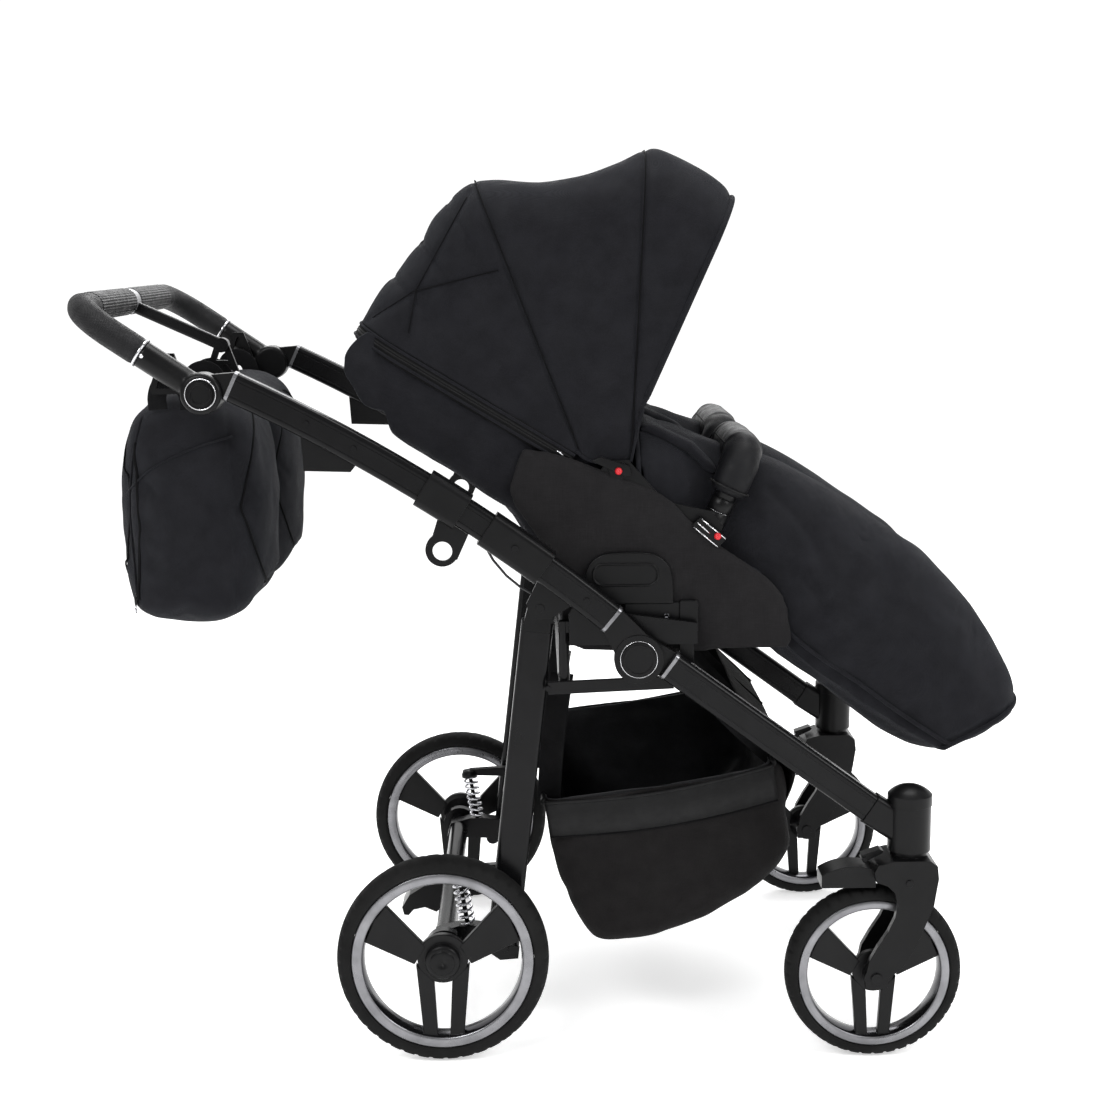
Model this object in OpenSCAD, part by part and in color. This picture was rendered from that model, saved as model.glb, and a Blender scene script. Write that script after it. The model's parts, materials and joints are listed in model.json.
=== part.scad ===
// Side-by-side twin stroller: folding frame on four wheels, two seats with canopies, two bags.
// +X is forward, +Z is up, Y = 0 is the middle plane, and Z = 0 is the floor. Units are millimetres.

/* [Wheels] */
// Outer diameter of a rear tyre
rear_wheel_d = 300; // [294:1:304]
// Outer diameter of a front tyre
front_wheel_d = 250; // [246:1:252]
// Width of every tyre
tyre_w = 40; // [34:1:40]

/* [Frame] */
// Distance of each side tube from the middle plane
side_y = 335; // [335:1:340]
// Width of a side tube across the stroller
tube_w = 26; // [24:1:26]
// Height of a side tube
tube_h = 41; // [38:1:41]
// Height of the front fold joint above the floor
fold_z = 582; // [581:1:583]

/* [Seats] */
// Distance of each seat's middle from the middle plane
seat_y = 157; // [156:1:158]
// Width of a seat over its side panels
seat_w = 262; // [256:1:262]
// Thickness of the padded fabric shells
shell_t = 10; // [8:1:10]

/* [Handle] */
// Length of each handle arm from its tilt joint
handle_reach = 203; // [196:1:204]
// Diameter of the padded grip
grip_d = 40; // [38:1:41]

/* [Hidden] */
$fn = 48;
// Radial gap between a pin and the hole that turns on it
run_fit = 0.08;

// Joint places in the XZ plane
rear_axle_p = [-170, rear_wheel_d / 2];
front_axle_p = [439, front_wheel_d / 2];
caster_x = 487;
fold_p = [107, fold_z];
leg_pivot_p = [-28, 649];
leg_foot_p = [-84, 150];
brace_rear_p = [-18, 535];
brace_front_p = [157, 542];
tilt_p = [-477, 951];
hub_p = [97, 677];
canopy_p = [82, 836];

// Upper tube: one long gentle arc
tube_arc_r = 2400;
arc_start = 25.3;
arc_end = 39.6;
arc_centre = [-436 - tube_arc_r * sin(arc_start), 959 - tube_arc_r * cos(arc_start)];
ferrule_a = 0.12;
function on_arc(a) = arc_centre + tube_arc_r * [sin(a), cos(a)];
function across_arc(a, d) = arc_centre + (tube_arc_r + d) * [sin(a), cos(a)];
clip_a = 32.9;
lower_start_p = [152, 569];
lower_end_p = [430, 364];

leg_y = 288;
leg_w = 28;
leg_d = 45;
leg_tilt = 6.6;
handle_a = 34;
fold_r = 34;

module both_sides() {
    children();
    mirror([0, 1, 0]) children();
}

// The children, drawn for the right side, on the right (-1) or the left (1)
module on_side(side) {
    if (side < 0) children();
    else mirror([0, 1, 0]) children();
}

module at(p, y = 0) translate([p[0], y, p[1]]) children();

// An XZ outline as a plate between y_min and y_min + thick
module plate(y_min, thick) {
    translate([0, y_min + thick, 0]) rotate([90, 0, 0]) linear_extrude(thick) children();
}

module rod_y(p, r, y0, y1) {
    translate([p[0], y0, p[1]]) rotate([-90, 0, 0]) cylinder(r = r, h = y1 - y0);
}

module rounded_rect(w, h, r) {
    square([w - 2 * r, h], center = true);
    square([w, h - 2 * r], center = true);
    for (x = [-1, 1], y = [-1, 1]) translate([x * (w / 2 - r), y * (h / 2 - r)]) circle(r);
}

// A bar along the line from a to b in the XZ plane at y, its section drawn as (width, height)
module beam(a, b, y) {
    run = b - a;
    translate([a[0], y, a[1]])
        rotate([0, -atan2(run[1], run[0]), 0])
            rotate([90, 0, 90])
                linear_extrude(norm(run)) children();
}

// A round rod between two points in space
module rod(a, b, r) {
    run = b - a;
    flat = norm([run[0], run[1]]);
    translate(a) rotate([0, atan2(flat, run[2]), atan2(run[1], run[0])]) cylinder(r = r, h = norm(run));
}

module tube_section(w, h) {
    groove = 1.2;
    difference() {
        rounded_rect(w, h, 7);
        for (x = [-1, 1], y = [-1, 1]) translate([x * w / 2, y * 11]) square([groove, 2], center = true);
    }
}

// A sector of the upper tube's arc with the given section
module arc_sweep(from, to, y) {
    translate([arc_centre[0], y, arc_centre[1]])
        rotate([90, 0, 0])
            rotate([0, 0, 90 - to])
                rotate_extrude(angle = to - from, $fn = 360)
                    translate([tube_arc_r, 0]) rotate(90) children();
}

// ---- Upper frame ----

module upper_tubes() {
    color("#2b2b2d") both_sides() arc_sweep(arc_start, arc_end, -side_y) tube_section(tube_w, tube_h);
}

module tube_ferrules() {
    color("silver") both_sides() for (a = [arc_start - ferrule_a, arc_end])
        arc_sweep(a, a + ferrule_a, -side_y) rounded_rect(tube_w + 1, tube_h + 1, 7.5);
}

// Plastic ends of the upper tubes: the tilt joint's hub behind and half of the fold joint in front
module tube_end_fittings() {
    rear = arc_start - ferrule_a;
    front = arc_end + ferrule_a;
    half = tube_h / 2 - 1;
    color("#232325") both_sides() {
        rod_y(tilt_p, 25, -side_y - 12, -side_y + 12);
        plate(-side_y - 10, 20) polygon([
            across_arc(rear, half), across_arc(rear, -half), tilt_p + [2, -22], tilt_p + [-2, 24]
        ]);
        difference() {
            union() {
                rod_y(fold_p, fold_r, -side_y - 15, -side_y - 1);
                plate(-side_y - 13, 12) polygon([
                    across_arc(front, -half), across_arc(front, half), [128, 606],
                    fold_p + [22, 12], fold_p + [-24, -10]
                ]);
            }
            rod_y(fold_p, 6, -side_y - 30, -side_y + 30);
        }
    }
}

// Collars on the upper tubes whose ears carry the rear legs
module leg_collars() {
    a = 34.6;
    b = 36.9;
    pad = 5;
    color("#1e1e20") both_sides() {
        difference() {
            arc_sweep(a, b, -side_y) rounded_rect(tube_w + 2 * pad, tube_h + 2 * pad, 9);
            arc_sweep(a - 1, b + 1, -side_y) rounded_rect(tube_w, tube_h, 7);
        }
        plate(-side_y + tube_w / 2 + pad - 2, 6) polygon([
            [-14, 722], [34, 690], [20, 655], leg_pivot_p + [16, -14],
            leg_pivot_p + [-12, -17], leg_pivot_p + [-19, 6]
        ]);
        rod_y(leg_pivot_p, 6, -side_y + tube_w / 2 + pad - 3, -leg_y + leg_w / 2 + 4);
        // Stop plate under the rear of each tube
        plate(-side_y - 3, 6) polygon([
            [-348, 892], [-345, 845], [-282, 843], [-262, 868], across_arc(28, -tube_h / 2 + 1),
            across_arc(27, -tube_h / 2 + 1)
        ]);
    }
}

// Bridge between the side tubes that carries both seats
module seat_chassis() {
    tube_r = 9;
    rear_p = [5, 548];
    front_p = [176, 552];
    color("#1b1b1d") {
        both_sides() {
            plate(-side_y + tube_w / 2 + 4, 9) polygon([
                [12, 596], [12, 640], [24, 662], [60, 662], [90, 640], [190, 626], [190, 596]
            ]);
            for (p = [[30, 650], [52, 640]]) rod_y(p, 5, -side_y + tube_w / 2, -side_y + tube_w / 2 + 4);
            translate([rear_p[0], -302, rear_p[1] - 12]) cylinder(r = 7.5, h = 92);
            plate(-309, 9) polygon([[-3, 612], [14, 612], [14, 628], [-3, 628]]);
            translate([front_p[0] - 10, -309, front_p[1] - 12]) cube([20, 9, 60]);
            rod_y([front_p[0], front_p[1]], tube_r, -300, 0);
            rod_y([rear_p[0], rear_p[1]], tube_r, -294.5, 0);
            translate([rear_p[0] + 1, -22, rear_p[1] - 4]) cube([16, 10, 66]);
            translate([front_p[0] - 10, -22, front_p[1] - 4]) cube([20, 10, 52]);
            plate(-22, 10) polygon([[6, 600], [6, 612], [186, 612], [186, 598], [100, 594.5]]);
        }
    }
}

// Docking fittings that hold the seats' hubs, one outside and one inside each seat
module seat_adapter(y0, y1) {
    plate(y0, y1 - y0) difference() {
        union() {
            polygon([[94, 612], [190, 612], [190, 706], [184, 712], [170, 712], [165, 706], [165, 652], [94, 652]]);
            translate(hub_p + [-28, 14]) circle(30);
            translate(hub_p + [18, 14]) circle(30);
            translate(hub_p + [-28, 12]) square([46, 32]);
            translate(hub_p + [-58, -26]) square([106, 40]);
        }
        translate(hub_p + [-34, 13]) square([62, 15]);
    }
}

module seat_adapters() {
    inner = seat_y - seat_w / 2;
    outer = seat_y + seat_w / 2;
    color("#202022") both_sides() {
        seat_adapter(-outer - 14, -outer - 4);
        rod_y(hub_p, 10, -outer - 4, -outer + 5);
        seat_adapter(-inner + 4, -inner + 13);
        rod_y(hub_p, 10, -inner - 5, -inner + 4);
        translate([160, -outer - 16, 604]) cube([30, 12, 8]);
    }
}

module frame_bolts() {
    outside = -side_y - tube_w / 2;
    on_tube = [27.9, 29.6, 38.6];
    color("#3c3c3e") both_sides() {
        for (a = on_tube) rod_y(on_arc(a), 4, outside - 2.5, outside);
        rod_y(on_arc(35.7), 5, outside - 8, outside - 5);
    }
}

// Pin and round cover of the fold joint, and the flat pads of the handle joint
module fold_caps() {
    color("#2a2a2c") both_sides() {
        rod_y(fold_p, 6, -side_y - 15, -side_y + 14);
        rod_y(fold_p, 24, -side_y - 19, -side_y - 15);
        difference() {
            rod_y(fold_p, 21.5, -side_y - 20.5, -side_y - 19);
            rod_y(fold_p, 19, -side_y - 21, -side_y - 18.5);
        }
    }
}

// Cable from each release clip to the leg bracket, held at both ends
module release_cables() {
    r = 1.8;
    y = -310;
    route = [[-112, 770], [-106, 742], [-92, 716], [-74, 694], [-54, 677], [-38, 668]];
    color("#151517") both_sides() {
        for (n = [0 : len(route) - 2]) {
            rod([route[n][0], y, route[n][1]], [route[n + 1][0], y, route[n + 1][1]], r);
            at(route[n], y) sphere(r = r, $fn = 16);
        }
        translate([-118, -side_y + tube_w / 2, 768]) cube([12, 14, 12]);
    }
}

basket_side = [[-26, 355], [306, 408], [324, 385], [329, 266], [142, 141], [54, 141], [4, 209]];
module basket() {
    half = 262;
    wall = 6;
    color("#1d1d20") difference() {
        plate(-half, 2 * half) polygon(basket_side);
        plate(-half + wall, 2 * half - 2 * wall)
            polygon([[-22 + wall, 340], [-22, 500], [318, 500], [318, 268], [140, 149], [57, 149], [10, 211]]);
    }
}

// Flat webbing that hangs the basket from the chassis, front and rear
module basket_straps() {
    color("#1a1a1c") both_sides() for (y = [-226, -70]) {
        beam([314, 409], [183, 541], y) square([34, 2], center = true);
        beam([-16, 357], [3, 536], y) square([34, 2], center = true);
    }
}

// ---- Handle ----

arm = [-cos(handle_a), sin(handle_a)];
bar_p = tilt_p + handle_reach * arm;
bend_r = 62;

// A U of round bar: arms along +X at y = -half and half, up to the cross bar at x = -reach
module u_bar(r, half, reach, bend, from) {
    both_sides() {
        translate([bend - reach, -half, 0]) rotate([0, 90, 0]) cylinder(r = r, h = reach - bend - from);
        translate([bend - reach, bend - half, 0]) rotate([0, 0, 180])
            rotate_extrude(angle = 90) translate([bend, 0]) circle(r);
        rod_y([-reach, 0], r, bend - half, 0);
    }
}

module handle_u(r, from) {
    at(tilt_p) rotate([0, handle_a, 0]) u_bar(r, side_y, handle_reach, bend_r, from);
}

module handle_tube() {
    color("#303032") handle_u(12, 46);
}

module handle_grip() {
    color("#262628") difference() {
        handle_u(grip_d / 2, 98);
        handle_u(12, 46);
        at(bar_p) rod_y([0, 0], grip_d, -14, 14);
    }
}

// Plastic arms between the grip and the tilt joint, each a fork with two cheeks over the hub
module sleeve_cheek() {
    rotate(-handle_a) {
        circle(28);
        translate([-40, -16]) square([40, 32]);
    }
}

module handle_sleeves() {
    gap = 12.4;
    color("#222224") both_sides() at(tilt_p, -side_y) {
        difference() {
            plate(-22, 22 - gap) sleeve_cheek();
            rod_y([0, 0], 17, -30, -14);
        }
        plate(gap, 20 - gap) sleeve_cheek();
        rotate([0, handle_a, 0]) difference() {
            translate([-96, 0, 0]) rotate([0, 90, 0]) cylinder(r = 19, h = 62);
            translate([-100, 0, 0]) rotate([0, 90, 0]) cylinder(r = 12, h = 54);
        }
    }
}

// Brace from the middle of the bar to the hook that both bags share
module handle_strut() {
    end_p = [-505, 998];
    color("#29292b") {
        beam(bar_p + [14, -9], end_p, 0) rounded_rect(14, 18, 4);
        rod_y(end_p, 11, -9, 9);
    }
}

module hook(y_min, thick, p) {
    plate(y_min, thick) difference() {
        polygon([p + [-9, 14], p + [9, 14], p + [26, -34], p + [22, -41], p + [-22, -41], p + [-26, -34]]);
        polygon([p + [-2, 6], p + [2, 6], p + [9, -14], p + [-9, -14]]);
        polygon([p + [-13, -20], p + [13, -20], p + [16, -33], p + [-16, -33]]);
    }
}

module bag_hooks() {
    color("#1c1c1e") {
        hook(-4, 8, [-505, 989]);
        both_sides() {
            hook(-309, 6, [-528, 989]);
            beam([-533, 990], [-518, 980], -312.6) square([7.2, 18], center = true);
        }
    }
}

module handle_rings() {
    color("#8a8a8c") {
        at(bar_p) difference() {
            rod_y([0, 0], grip_d / 2 - 1, -14, 14);
            rod_y([0, 0], 12, -15, 15);
        }
        both_sides() at(tilt_p, -side_y) rotate([0, handle_a, 0]) translate([-98, 0, 0])
            rotate([0, 90, 0]) difference() {
                cylinder(r = 20.5, h = 2);
                translate([0, 0, -1]) cylinder(r = 12, h = 4);
            }
    }
}

// Round push button in the outer cheek of the tilt joint
module tilt_button() {
    color("#101012") {
        rod_y(tilt_p, 16.8, -side_y - 25, -side_y - 17.5);
        difference() {
            rod_y(tilt_p, 15, -side_y - 26.5, -side_y - 25);
            rod_y(tilt_p, 12.5, -side_y - 27, -side_y - 24);
        }
    }
}

// ---- Bags ----

bag_p = [-525, 962];
bag_side = [
    [-584, 914], [-552, 940], [-505, 946], [-466, 930], [-446, 880], [-442, 700], [-454, 652],
    [-478, 626], [-592, 640], [-603, 668], [-605, 800]
];
module bag() {
    inner = 12;
    outer = 298;
    color("#1b1b1e") {
        plate(-outer, outer - inner) polygon(bag_side);
        for (y = [-284, -34]) beam([-540, 941], [-526, 951], y) square([24, 4], center = true);
        plate(-296, 6) polygon([[-532, 944], [-521, 944], [-521, 960], [-529, 960]]);
        rod_y(bag_p, 3, -309.5, -290);
    }
}

// ---- Fold release clips ----

module release_clips() {
    half = 0.75;
    clear = 0.5;
    color("#19191b") both_sides() {
        difference() {
            arc_sweep(clip_a - half, clip_a + half, -side_y) rounded_rect(tube_w + 12, tube_h + 12, 10);
            arc_sweep(clip_a - 2, clip_a + 2, -side_y)
                rounded_rect(tube_w + 2 * clear, tube_h + 2 * clear, 7.5);
        }
        difference() {
            union() {
                plate(-side_y - 8, 8) polygon([[-164, 784], [-120, 766], [-140, 722], [-178, 740]]);
                rod_y([-160, 736], 23, -side_y - 8, -side_y);
            }
            arc_sweep(clip_a - 4, clip_a + 4, -side_y) rounded_rect(tube_w + 2, tube_h + 2, 7.5);
            rod_y([-160, 734], 13.5, -side_y - 30, -side_y + 10);
        }
    }
}

// ---- Lower frame ----

module lower_tubes() {
    color("#2b2b2d") both_sides()
        beam(lower_start_p, lower_end_p, -side_y) tube_section(tube_w, tube_h);
}

module lower_ferrules() {
    d = (lower_end_p - lower_start_p) / norm(lower_end_p - lower_start_p);
    color("silver") both_sides()
        beam(lower_start_p - 5 * d, lower_start_p, -side_y) rounded_rect(tube_w + 1, tube_h + 1, 7.5);
}

// Inner half of each fold joint, with the shaft that joins left and right
module lower_knuckles() {
    d = (lower_end_p - lower_start_p) / norm(lower_end_p - lower_start_p);
    n = [-d[1], d[0]];
    a = lower_start_p - 5 * d;
    color("#232325") both_sides() {
        difference() {
            union() {
                rod_y(fold_p, fold_r - 1, -side_y - 0.4, -side_y + 13);
                plate(-side_y - 0.4, 13.4) polygon([
                    a + 19.5 * n, a - 19.5 * n, fold_p + [-6, -32], fold_p + [24, 22]
                ]);
            }
            rod_y(fold_p, 6 + run_fit, -side_y - 30, -side_y + 14.3);
            rod_y(fold_p, 8, -side_y + 12, -side_y + 20);
        }
        rod_y(fold_p, 8, -side_y + 14.4, 0);
        difference() {
            rod_y(fold_p, 12, -side_y + 12, -side_y + 20);
            rod_y(fold_p, 8, -side_y + 11, -side_y + 21);
        }
    }
}

module caster_housings() {
    d = (lower_end_p - lower_start_p) / norm(lower_end_p - lower_start_p);
    color("#232325") both_sides() {
        translate([caster_x, -side_y, 0]) difference() {
            union() {
                translate([0, 0, 303]) cylinder(r = 30, h = 65);
                translate([0, 0, 368]) cylinder(r = 31, h = 14);
                translate([0, 0, 382]) intersection() {
                    cylinder(r = 31, h = 16);
                    translate([0, 0, -26]) sphere(r = 41);
                }
            }
            translate([0, 0, 300]) cylinder(r = 12 + run_fit, h = 50);
        }
        difference() {
            beam(lower_end_p, [caster_x - 4, 329], -side_y) rounded_rect(tube_w + 4, tube_h + 4, 8);
            translate([caster_x, -side_y, 250]) cylinder(r = 30, h = 120);
        }
    }
}

// ---- Casters ----

module fork_outline() {
    polygon([
        [433, 280], [438, 290], [460, 296], [511, 296], [521, 288], [523, 270], [517, 231],
        [508, 208], [493, 170], [474, 139], [455, 125], [455, 110], [424, 110], [424, 130],
        [428, 150], [440, 172], [454, 194], [463, 214], [466, 232], [462, 250], [452, 260], [436, 266]
    ]);
}

module fork() {
    color("#242426") {
        plate(-side_y - 37, 11) fork_outline();
        plate(-side_y + 26, 11) fork_outline();
        intersection() {
            plate(-side_y - 37, 74) fork_outline();
            translate([380, -side_y - 37, 256]) cube([160, 74, 40]);
        }
        for (y = [-side_y - 37, -side_y + 26]) rod_y(front_axle_p, 17, y, y + 11);
        translate([caster_x, -side_y, 290]) cylinder(r = 12, h = 58);
        translate([caster_x, -side_y, 295]) cylinder(r = 26, h = 7.6);
        // Curved grab bar behind the fork
        intersection() {
            plate(-side_y - 21, 42) difference() {
                translate([406, 204]) circle(80);
                translate([402, 152]) circle(100);
            }
            translate([362, -side_y - 21, 253]) cube([76, 42, 47]);
        }
    }
    color("#5a5a5c") {
        rod_y(front_axle_p, 5, -side_y - 39, -side_y + 39);
        rod_y(front_axle_p, 8, -side_y - 40, -side_y - 37);
        rod_y(front_axle_p, 8, -side_y + 37, -side_y + 40);
        rod_y([482, 264], 5, -side_y - 39, -side_y - 37);
    }
}

// Small lever behind the caster that locks its swivel
module swivel_lock() {
    color("#333335") {
        plate(-side_y - 9, 18) polygon([[424, 287], [447, 298], [450, 302], [445, 305], [419, 296]]);
        rod_y([424, 290], 4, -side_y - 11, -side_y + 11);
    }
}

// Star of the wheel in its own plane, with the slotted leg down, k times its size on a 300 mm wheel
module wheel_star(k) {
    difference() {
        union() {
            polygon(k * [
                [-22.6, 24], [-79.2, 80.6], [-109.5, 27.7], [-44, -2], [-29, -111], [29, -111],
                [44, -2], [109.5, 27.7], [79.2, 80.6], [22.6, 24]
            ]);
            circle(34 * k);
        }
        polygon(k * [[-13, -30], [-8.5, -103], [8.5, -103], [13, -30]]);
    }
}

// A wheel's rim, star and hub about the Y axis, its outer face towards -Y
module wheel(tyre_d, hub_w, bore_r) {
    k = tyre_d / 300;
    rim_r = 129 * k;
    difference() {
        union() {
            rotate([90, 0, 0]) rotate_extrude($fn = 96) polygon([
                [111 * k, -15], [115 * k, -15], [115 * k, -17], [rim_r, -17], [rim_r, -14], [118 * k, -10],
                [118 * k, 10], [rim_r, 14], [rim_r, 17], [115 * k, 17], [115 * k, 15], [111 * k, 15]
            ]);
            plate(-14, 12) wheel_star(k);
            rod_y([0, 0], 22, -hub_w / 2, hub_w / 2);
        }
        rod_y([0, 0], bore_r, -60, 60);
    }
}

module tyre(tyre_d) {
    rim_r = 129 * tyre_d / 300;
    crown = 27;
    rotate([90, 0, 0]) rotate_extrude($fn = 96) intersection() {
        translate([rim_r, -tyre_w / 2]) square([tyre_d / 2 - rim_r, tyre_w]);
        translate([tyre_d / 2 - crown, 0]) circle(crown);
    }
}

module front_wheel() {
    color("#3a3a3c") at(front_axle_p, -side_y) wheel(front_wheel_d, 50, 5 + run_fit);
}

module front_tyre() {
    color("#1a1a1a") at(front_axle_p, -side_y) tyre(front_wheel_d);
}

rear_wheel_y = 332;
module rear_wheel() {
    color("#3a3a3c") at(rear_axle_p, -rear_wheel_y) {
        wheel(rear_wheel_d, 40, 6 + run_fit);
        rod_y([0, 0], 25, -26, -20);
    }
}

module rear_tyre() {
    color("#1a1a1a") at(rear_axle_p, -rear_wheel_y) tyre(rear_wheel_d);
}

// ---- Rear legs ----

leg_dir = [-sin(leg_tilt), -cos(leg_tilt)];
leg_top_p = [-33, 612];
leg_end_p = leg_top_p + 462 * leg_dir;

module rear_legs() {
    color("#29292b") {
        both_sides() beam(leg_end_p, leg_top_p, -leg_y) rounded_rect(leg_w, leg_d, 7);
        // Bridge between the legs, low behind the basket
        rod_y([-72, 250], 11, -leg_y + leg_w / 2, leg_y - leg_w / 2);
    }
}

// Plastic leg tops, feet and the spring towers
module leg_fittings() {
    color("#202022") both_sides() {
        difference() {
            union() {
                beam(leg_top_p, leg_top_p - 14 * leg_dir, -leg_y) rounded_rect(leg_w, leg_d, 7);
                plate(-leg_y - leg_w / 2, 18) polygon([
                    leg_top_p + [-18, 12], leg_top_p + [24, 12], leg_pivot_p + [17, 0], leg_pivot_p + [-15, 6]
                ]);
                rod_y(leg_pivot_p, 17, -leg_y - leg_w / 2, -leg_y + leg_w / 2 - 10);
            }
            rod_y(leg_pivot_p, 6 + run_fit, -leg_y - 30, -leg_y + 30);
        }
        // Clamp around the leg foot with the spring tower behind it
        for (y = [-leg_y - leg_w / 2, -leg_y + leg_w / 2 - 3]) plate(y, 3) polygon([
            leg_foot_p + [-18, 10], leg_foot_p + [-22, -6], leg_foot_p + [-6, -18],
            leg_foot_p + [20, -16], leg_foot_p + [22, 2]
        ]);
        rod_y(leg_foot_p, 6, -leg_y - leg_w / 2 - 3, -leg_y + leg_w / 2 + 30);
        translate([-152, -252, 246]) rotate([0, 8, 0]) cylinder(r = 11, h = 7);
        plate(-258, 12) polygon([[-150, 247], [-150, 257], [-62, 262], [-62, 244]]);
        plate(-274, 20) polygon([[-70, 244], [-70, 262], [-56, 262], [-56, 244]]);
    }
}

// Flat links between the legs and the lower tubes that tie the fold together
module brace_links() {
    color("#222224") both_sides() {
        beam(brace_rear_p, brace_front_p, -315) rounded_rect(4, 19, 1.5);
        rod_y(brace_rear_p, 4, -319, -302.4);
        rod_y(brace_front_p, 5, -321.7, -311);
    }
}

// Coil springs between the axle arms and the towers, each a row of rings
module rear_springs() {
    turns = 7;
    foot = [-138, 172];
    head = [-150, 244];
    color("silver") both_sides() for (n = [0 : turns - 1])
        at(foot + (head - foot) * (n + 0.5) / turns, -252)
            rotate([0, 9, 0]) rotate_extrude($fn = 24) translate([8, 0]) circle(1.7, $fn = 16);
}

// ---- Rear axle ----

module rear_axle() {
    color("#1f1f21") {
        difference() {
            rod_y(rear_axle_p, 15, -284, 284);
            rod_y(rear_axle_p, 17, -31, 31);
        }
        rod_y(rear_axle_p, 9, -31, 31);
        both_sides() {
            rod_y(rear_axle_p, 6, -rear_wheel_y - 18, -284);
            rod_y(rear_axle_p, 27, -300, -284);
            rod_y(rear_axle_p, 10, -rear_wheel_y + 21, -300);
            difference() {
                plate(-268, 24) polygon([
                    [-190, 138], [-184, 162], [-150, 171], [-128, 171], [-72, 164], [-66, 142], [-84, 134]
                ]);
                rod_y(leg_foot_p, 6 + run_fit, -300, -200);
            }
            rod_y([-112, 134], 11, -262, -248);
        }
    }
}

// Wide pedal in the middle of the axle that sets the brake
module brake_pedal() {
    color("#222224") difference() {
        plate(-28, 56) polygon([
            [-196, 150], [-214, 147], [-238, 132], [-250, 112], [-247, 100], [-240, 99],
            [-232, 108], [-214, 112], [-196, 104], [-176, 120], [-160, 150], [-170, 165]
        ]);
        rod_y(rear_axle_p, 9 + run_fit, -40, 40);
    }
}

// ---- Seats ----

outer_y = seat_y + seat_w / 2;
inner_y = seat_y - seat_w / 2;
rail_end_p = [212, 751];
bumper_p = rail_end_p + [4, 8];
bumper_lean = 24.4;
bumper_r = 10;
bumper_half = seat_w / 2 - 24;

// Rail around the seat with its hub plates, canopy pivots and bumper sockets
module seat_frame() {
    hub_t = 5;
    color("#242426") {
        for (y = [-outer_y, -inner_y - hub_t]) difference() {
            plate(y, hub_t) polygon([
                hub_p + [-34, 30], hub_p + [-24, -24], hub_p + [24, -24], hub_p + [40, 30],
                canopy_p + [70, -50], canopy_p + [14, 14], canopy_p + [-14, 14], [0, 760]
            ]);
            rod_y(hub_p, 10 + run_fit, -side_y, side_y);
        }
        for (y = [-outer_y + hub_t, -inner_y - 2 * hub_t]) plate(y, hub_t) polygon([
            rail_end_p + [-60, 20], rail_end_p + [-64, 40], rail_end_p + [0, 26],
            rail_end_p + [16, 4], rail_end_p + [6, -14]
        ]);
        rod_y(rail_end_p + [-30, 8], 6, -outer_y + 2 * hub_t, -inner_y - 2 * hub_t);
        for (y = [-outer_y, -inner_y + 4]) difference() {
            rod_y(canopy_p, 13, y - 4, y);
            rod_y(canopy_p, 4.5, y - 5, y + 1);
        }
        at(bumper_p, -seat_y) rotate([0, 90 + bumper_lean, 0]) for (y = [-bumper_half, bumper_half])
            translate([-24, y, 0]) rotate([0, 90, 0]) difference() {
                cylinder(r = bumper_r + 4, h = 26);
                translate([0, 0, -1]) cylinder(r = bumper_r + run_fit, h = 28);
            }
    }
}

// Seat fabric: back, bottom and two side panels around the open seat
module seat_shell() {
    side = [
        [-307, 1000], [-264, 921], [-217, 882], [-68, 784], [-30, 722], [0, 650], [8, 607],
        [280, 607], [292, 640], [290, 689], [206, 744], [20, 870], [-274, 1046], [-300, 1034]
    ];
    lap = [[112, 899], [190, 862], [226, 826], [220, 820], [186, 853], [109, 890]];
    room = [
        [-270, 1080], [-258, 948], [-60, 812], [10, 740], [40, 660], [340, 660], [340, 900], [0, 1080]
    ];
    inset = 6;
    color("#1c1c1f") difference() {
        plate(-outer_y + inset, seat_w - 2 * inset) polygon(side);
        plate(-outer_y + inset + shell_t, seat_w - 2 * inset - 2 * shell_t) polygon(room);
        for (y = [-outer_y - 1, -inner_y - 11]) plate(y, 12) polygon([
            hub_p + [-38, 34], hub_p + [-30, -30], hub_p + [32, -30], hub_p + [46, 34],
            canopy_p + [76, -48], canopy_p + [20, 24], canopy_p + [-20, 24], [-6, 764]
        ]);
        plate(-outer_y, seat_w) polygon([
            rail_end_p + [-70, 14], rail_end_p + [-74, 60], rail_end_p + [120, 26],
            rail_end_p + [50, -40], rail_end_p + [2, -18]
        ]);
    }
    // Flap over the lap, ahead of the leg cover
    color("#1c1c20") plate(-outer_y + 42, seat_w - 84) polygon(lap);
}

canopy_r = 430;
// Canopy fan between two angles about its pivot, flat cheeks and a rounded roof, as a closed shell
module fan(r, from, to) {
    steps = 8;
    polygon(concat(
        [[0, 0]],
        [for (n = [0 : steps]) let (a = from + (to - from) * n / steps) r * [cos(a), sin(a)]]
    ));
}

module canopy_shell(r, from, to, y0, y1, t, floor_r) {
    at(canopy_p) difference() {
        plate(y0, y1 - y0) fan(r, from, to);
        plate(y0 + t, y1 - y0 - 2 * t) fan(r - t, from - 20, to + 20);
        rod_y([0, 0], floor_r, y0 - 1, y1 + 1);
    }
}

module canopy_rear() {
    low_a = 149.2;
    color("#1b1b1e") {
        canopy_shell(canopy_r - 10, 117, low_a, -outer_y + 6, -inner_y - 6, 6, 30);
        canopy_shell(canopy_r - 22, 84.5, 117, -outer_y + 9, -inner_y - 9, 5, 30);
    }
}

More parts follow.
